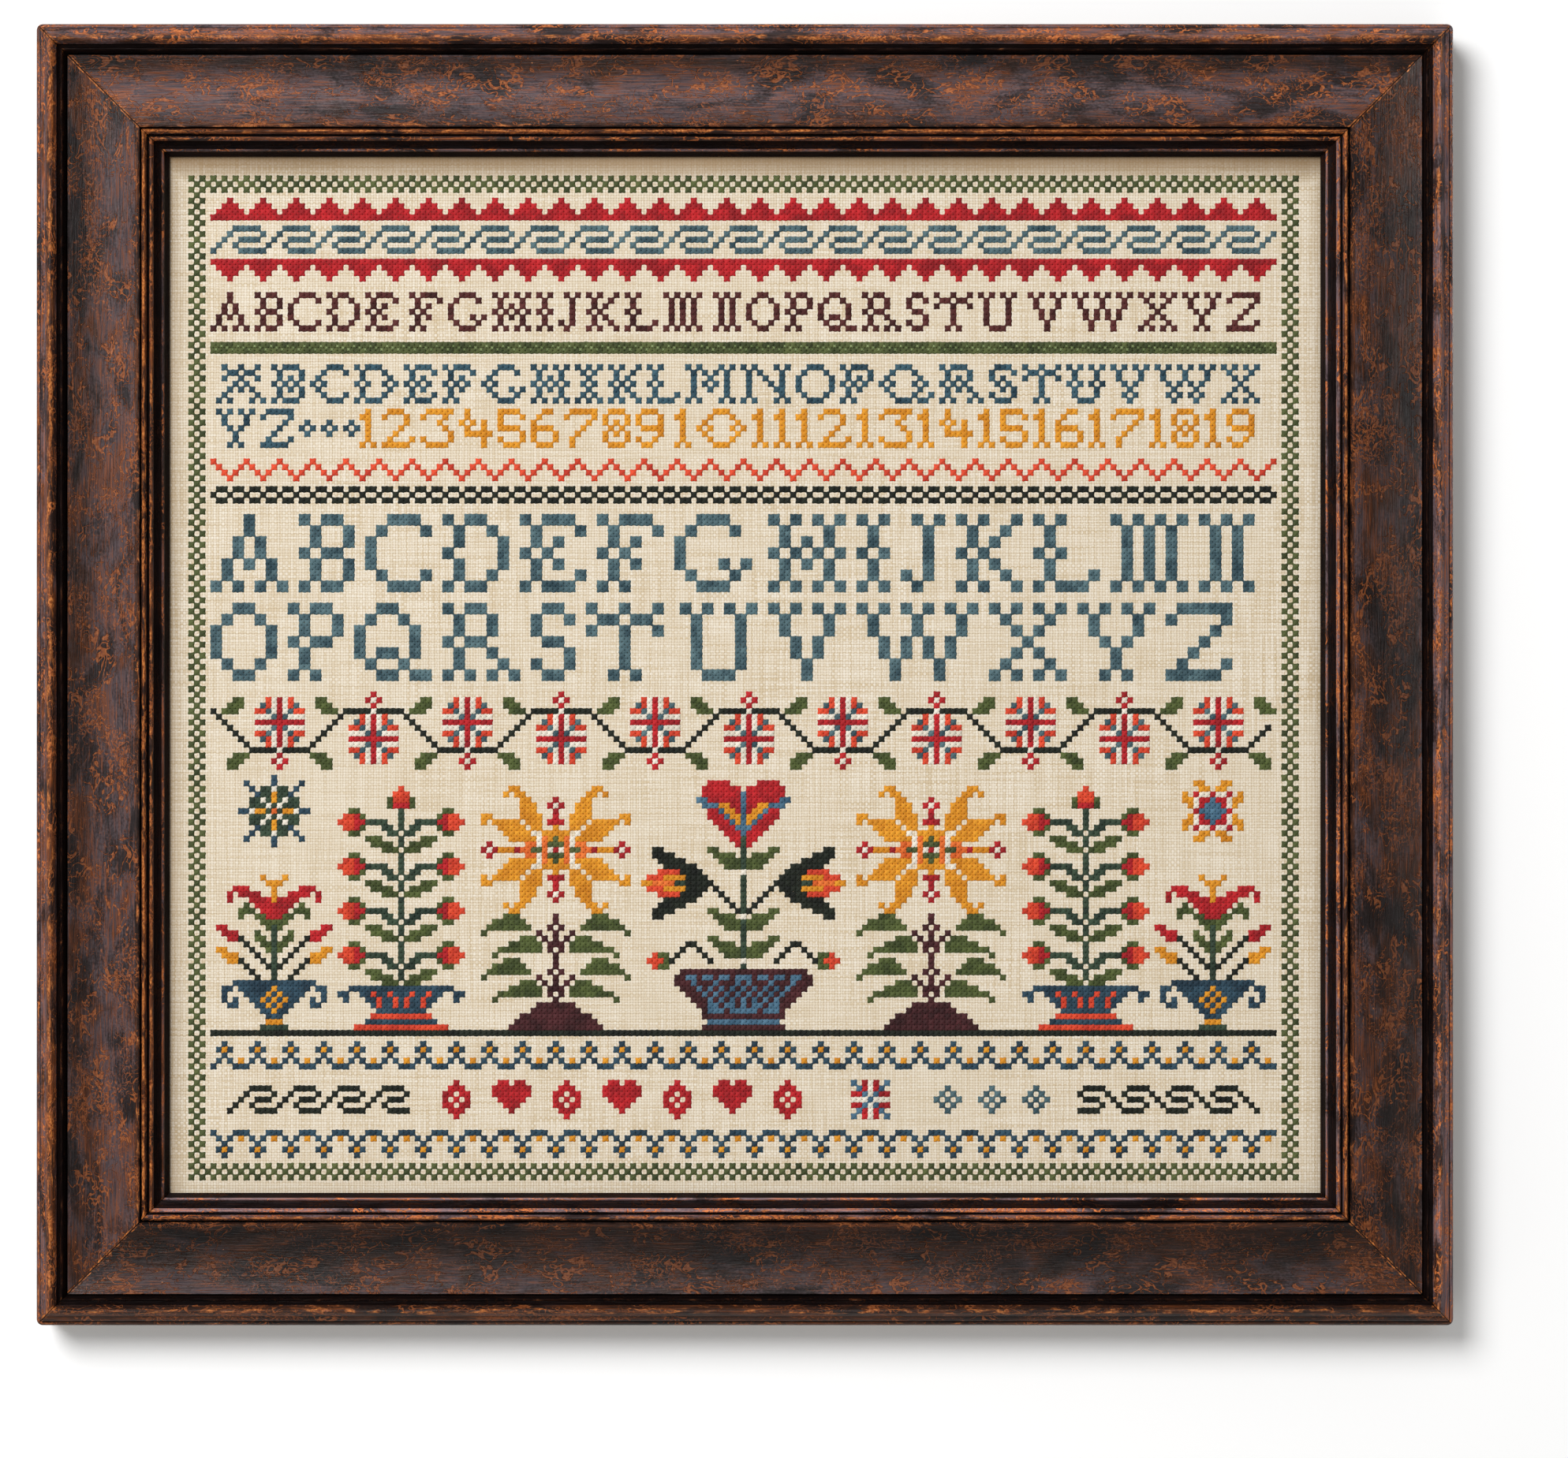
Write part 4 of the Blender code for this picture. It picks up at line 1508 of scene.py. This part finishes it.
# %% [markdown]
# ## Wall, floor and light
# The frame hangs on a white wall, lit from the upper left by one soft window-sized light, with pale
# light all round. The light's angle sets the shadow: it falls about half the frame's depth to the
# right and below. Only the camera sees the wall, and only from the front, so views from behind
# still show the back of the frame, and one weak light there makes it plain.

# %% The stage
def matt_paint(name, colour, one_sided=False):
    """Flat white paint: no gloss, no pattern."""
    material, tree, shader = new_material(name)
    shader.inputs["Base Color"].default_value = linear(colour)
    shader.inputs["Roughness"].default_value = 1.0
    shader.inputs["Specular IOR Level"].default_value = 0.0
    if one_sided:
        back = add(tree, "ShaderNodeNewGeometry").outputs["Backfacing"]
        clear = add(tree, "ShaderNodeBsdfTransparent").outputs[0]
        mix = add(tree, "ShaderNodeMixShader", {0: back, 1: shader.outputs[0], 2: clear})
        tree.links.new(mix.outputs[0], tree.nodes["Material Output"].inputs["Surface"])
    return material


def make_plane(name, corners, material):
    mesh = bpy.data.meshes.new(name)
    mesh.from_pydata(corners, [], [(0, 1, 2, 3)])
    plane = new_piece(name, mesh, material)
    plane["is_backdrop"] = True
    return plane


WALL_REACH = 2.2
FLOOR_REACH = 4.0
FLOOR_DROP = 1.3
WALL_GAP = 0.5 * MM
floor_z = CENTRE.z - FLOOR_DROP
wall = make_plane(
    "wall",
    [(-WALL_REACH, WALL_GAP, floor_z), (WALL_REACH, WALL_GAP, floor_z),
     (WALL_REACH, WALL_GAP, WALL_REACH), (-WALL_REACH, WALL_GAP, WALL_REACH)],
    matt_paint("white_wall_paint", "ffffff", one_sided=True),
)
wall.visible_diffuse = False
wall.visible_glossy = False
wall.visible_shadow = False
make_plane(
    "floor",
    [(-FLOOR_REACH, -FLOOR_REACH, floor_z), (FLOOR_REACH, -FLOOR_REACH, floor_z),
     (FLOOR_REACH, FLOOR_REACH, floor_z), (-FLOOR_REACH, FLOOR_REACH, floor_z)],
    matt_paint("pale_floor_paint", "f2f1ee"),
)
print(f"wall {WALL_GAP / MM:.1f} mm behind the frame, floor {FLOOR_DROP:.1f} m below its middle")

# %% The lights
KEY_SIZE = 1.2
KEY_PLACE = Vector((-0.97, -2.11, 1.04))
KEY_POWER = 56.5
BACK_PLACE = Vector((0.7, 1.4, 0.5))
BACK_SIZE = 0.9
BACK_POWER = 9.0
AMBIENT = 0.34


def area_light(name, place, size, power):
    """A round soft light, so far from the frame's middle, that faces it."""
    data = bpy.data.lights.new(name, "AREA")
    data.shape = "DISK"
    data.size = size
    data.energy = power
    lamp = bpy.data.objects.new(name, data)
    SCENE.collection.objects.link(lamp)
    lamp.location = CENTRE + place
    lamp.rotation_euler = (-place).to_track_quat("-Z", "Y").to_euler()


area_light("window", KEY_PLACE, KEY_SIZE, KEY_POWER)
area_light("behind", BACK_PLACE, BACK_SIZE, BACK_POWER)
world = bpy.data.worlds.new("pale_room")
world.use_nodes = True
world.node_tree.nodes["Background"].inputs["Color"].default_value = linear("ffffff")
world.node_tree.nodes["Background"].inputs["Strength"].default_value = AMBIENT
SCENE.world = world
SCENE.view_settings.view_transform = "Standard"
print(f"window {KEY_POWER} W, behind {BACK_POWER} W, room {AMBIENT}")

# %% [markdown]
# ## The size before and after
# The looks must keep the object's size, so the box before and the box after are printed side by
# side.

# %% Finish
boxes = {"cad": cad_bounds, "visual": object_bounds()}
sizes = {name: [list(low), list(high)] for name, (low, high) in boxes.items()}
for name, (low, high) in sizes.items():
    print(name, [round((b - a) / MM, 2) for a, b in zip(low, high)], "mm")
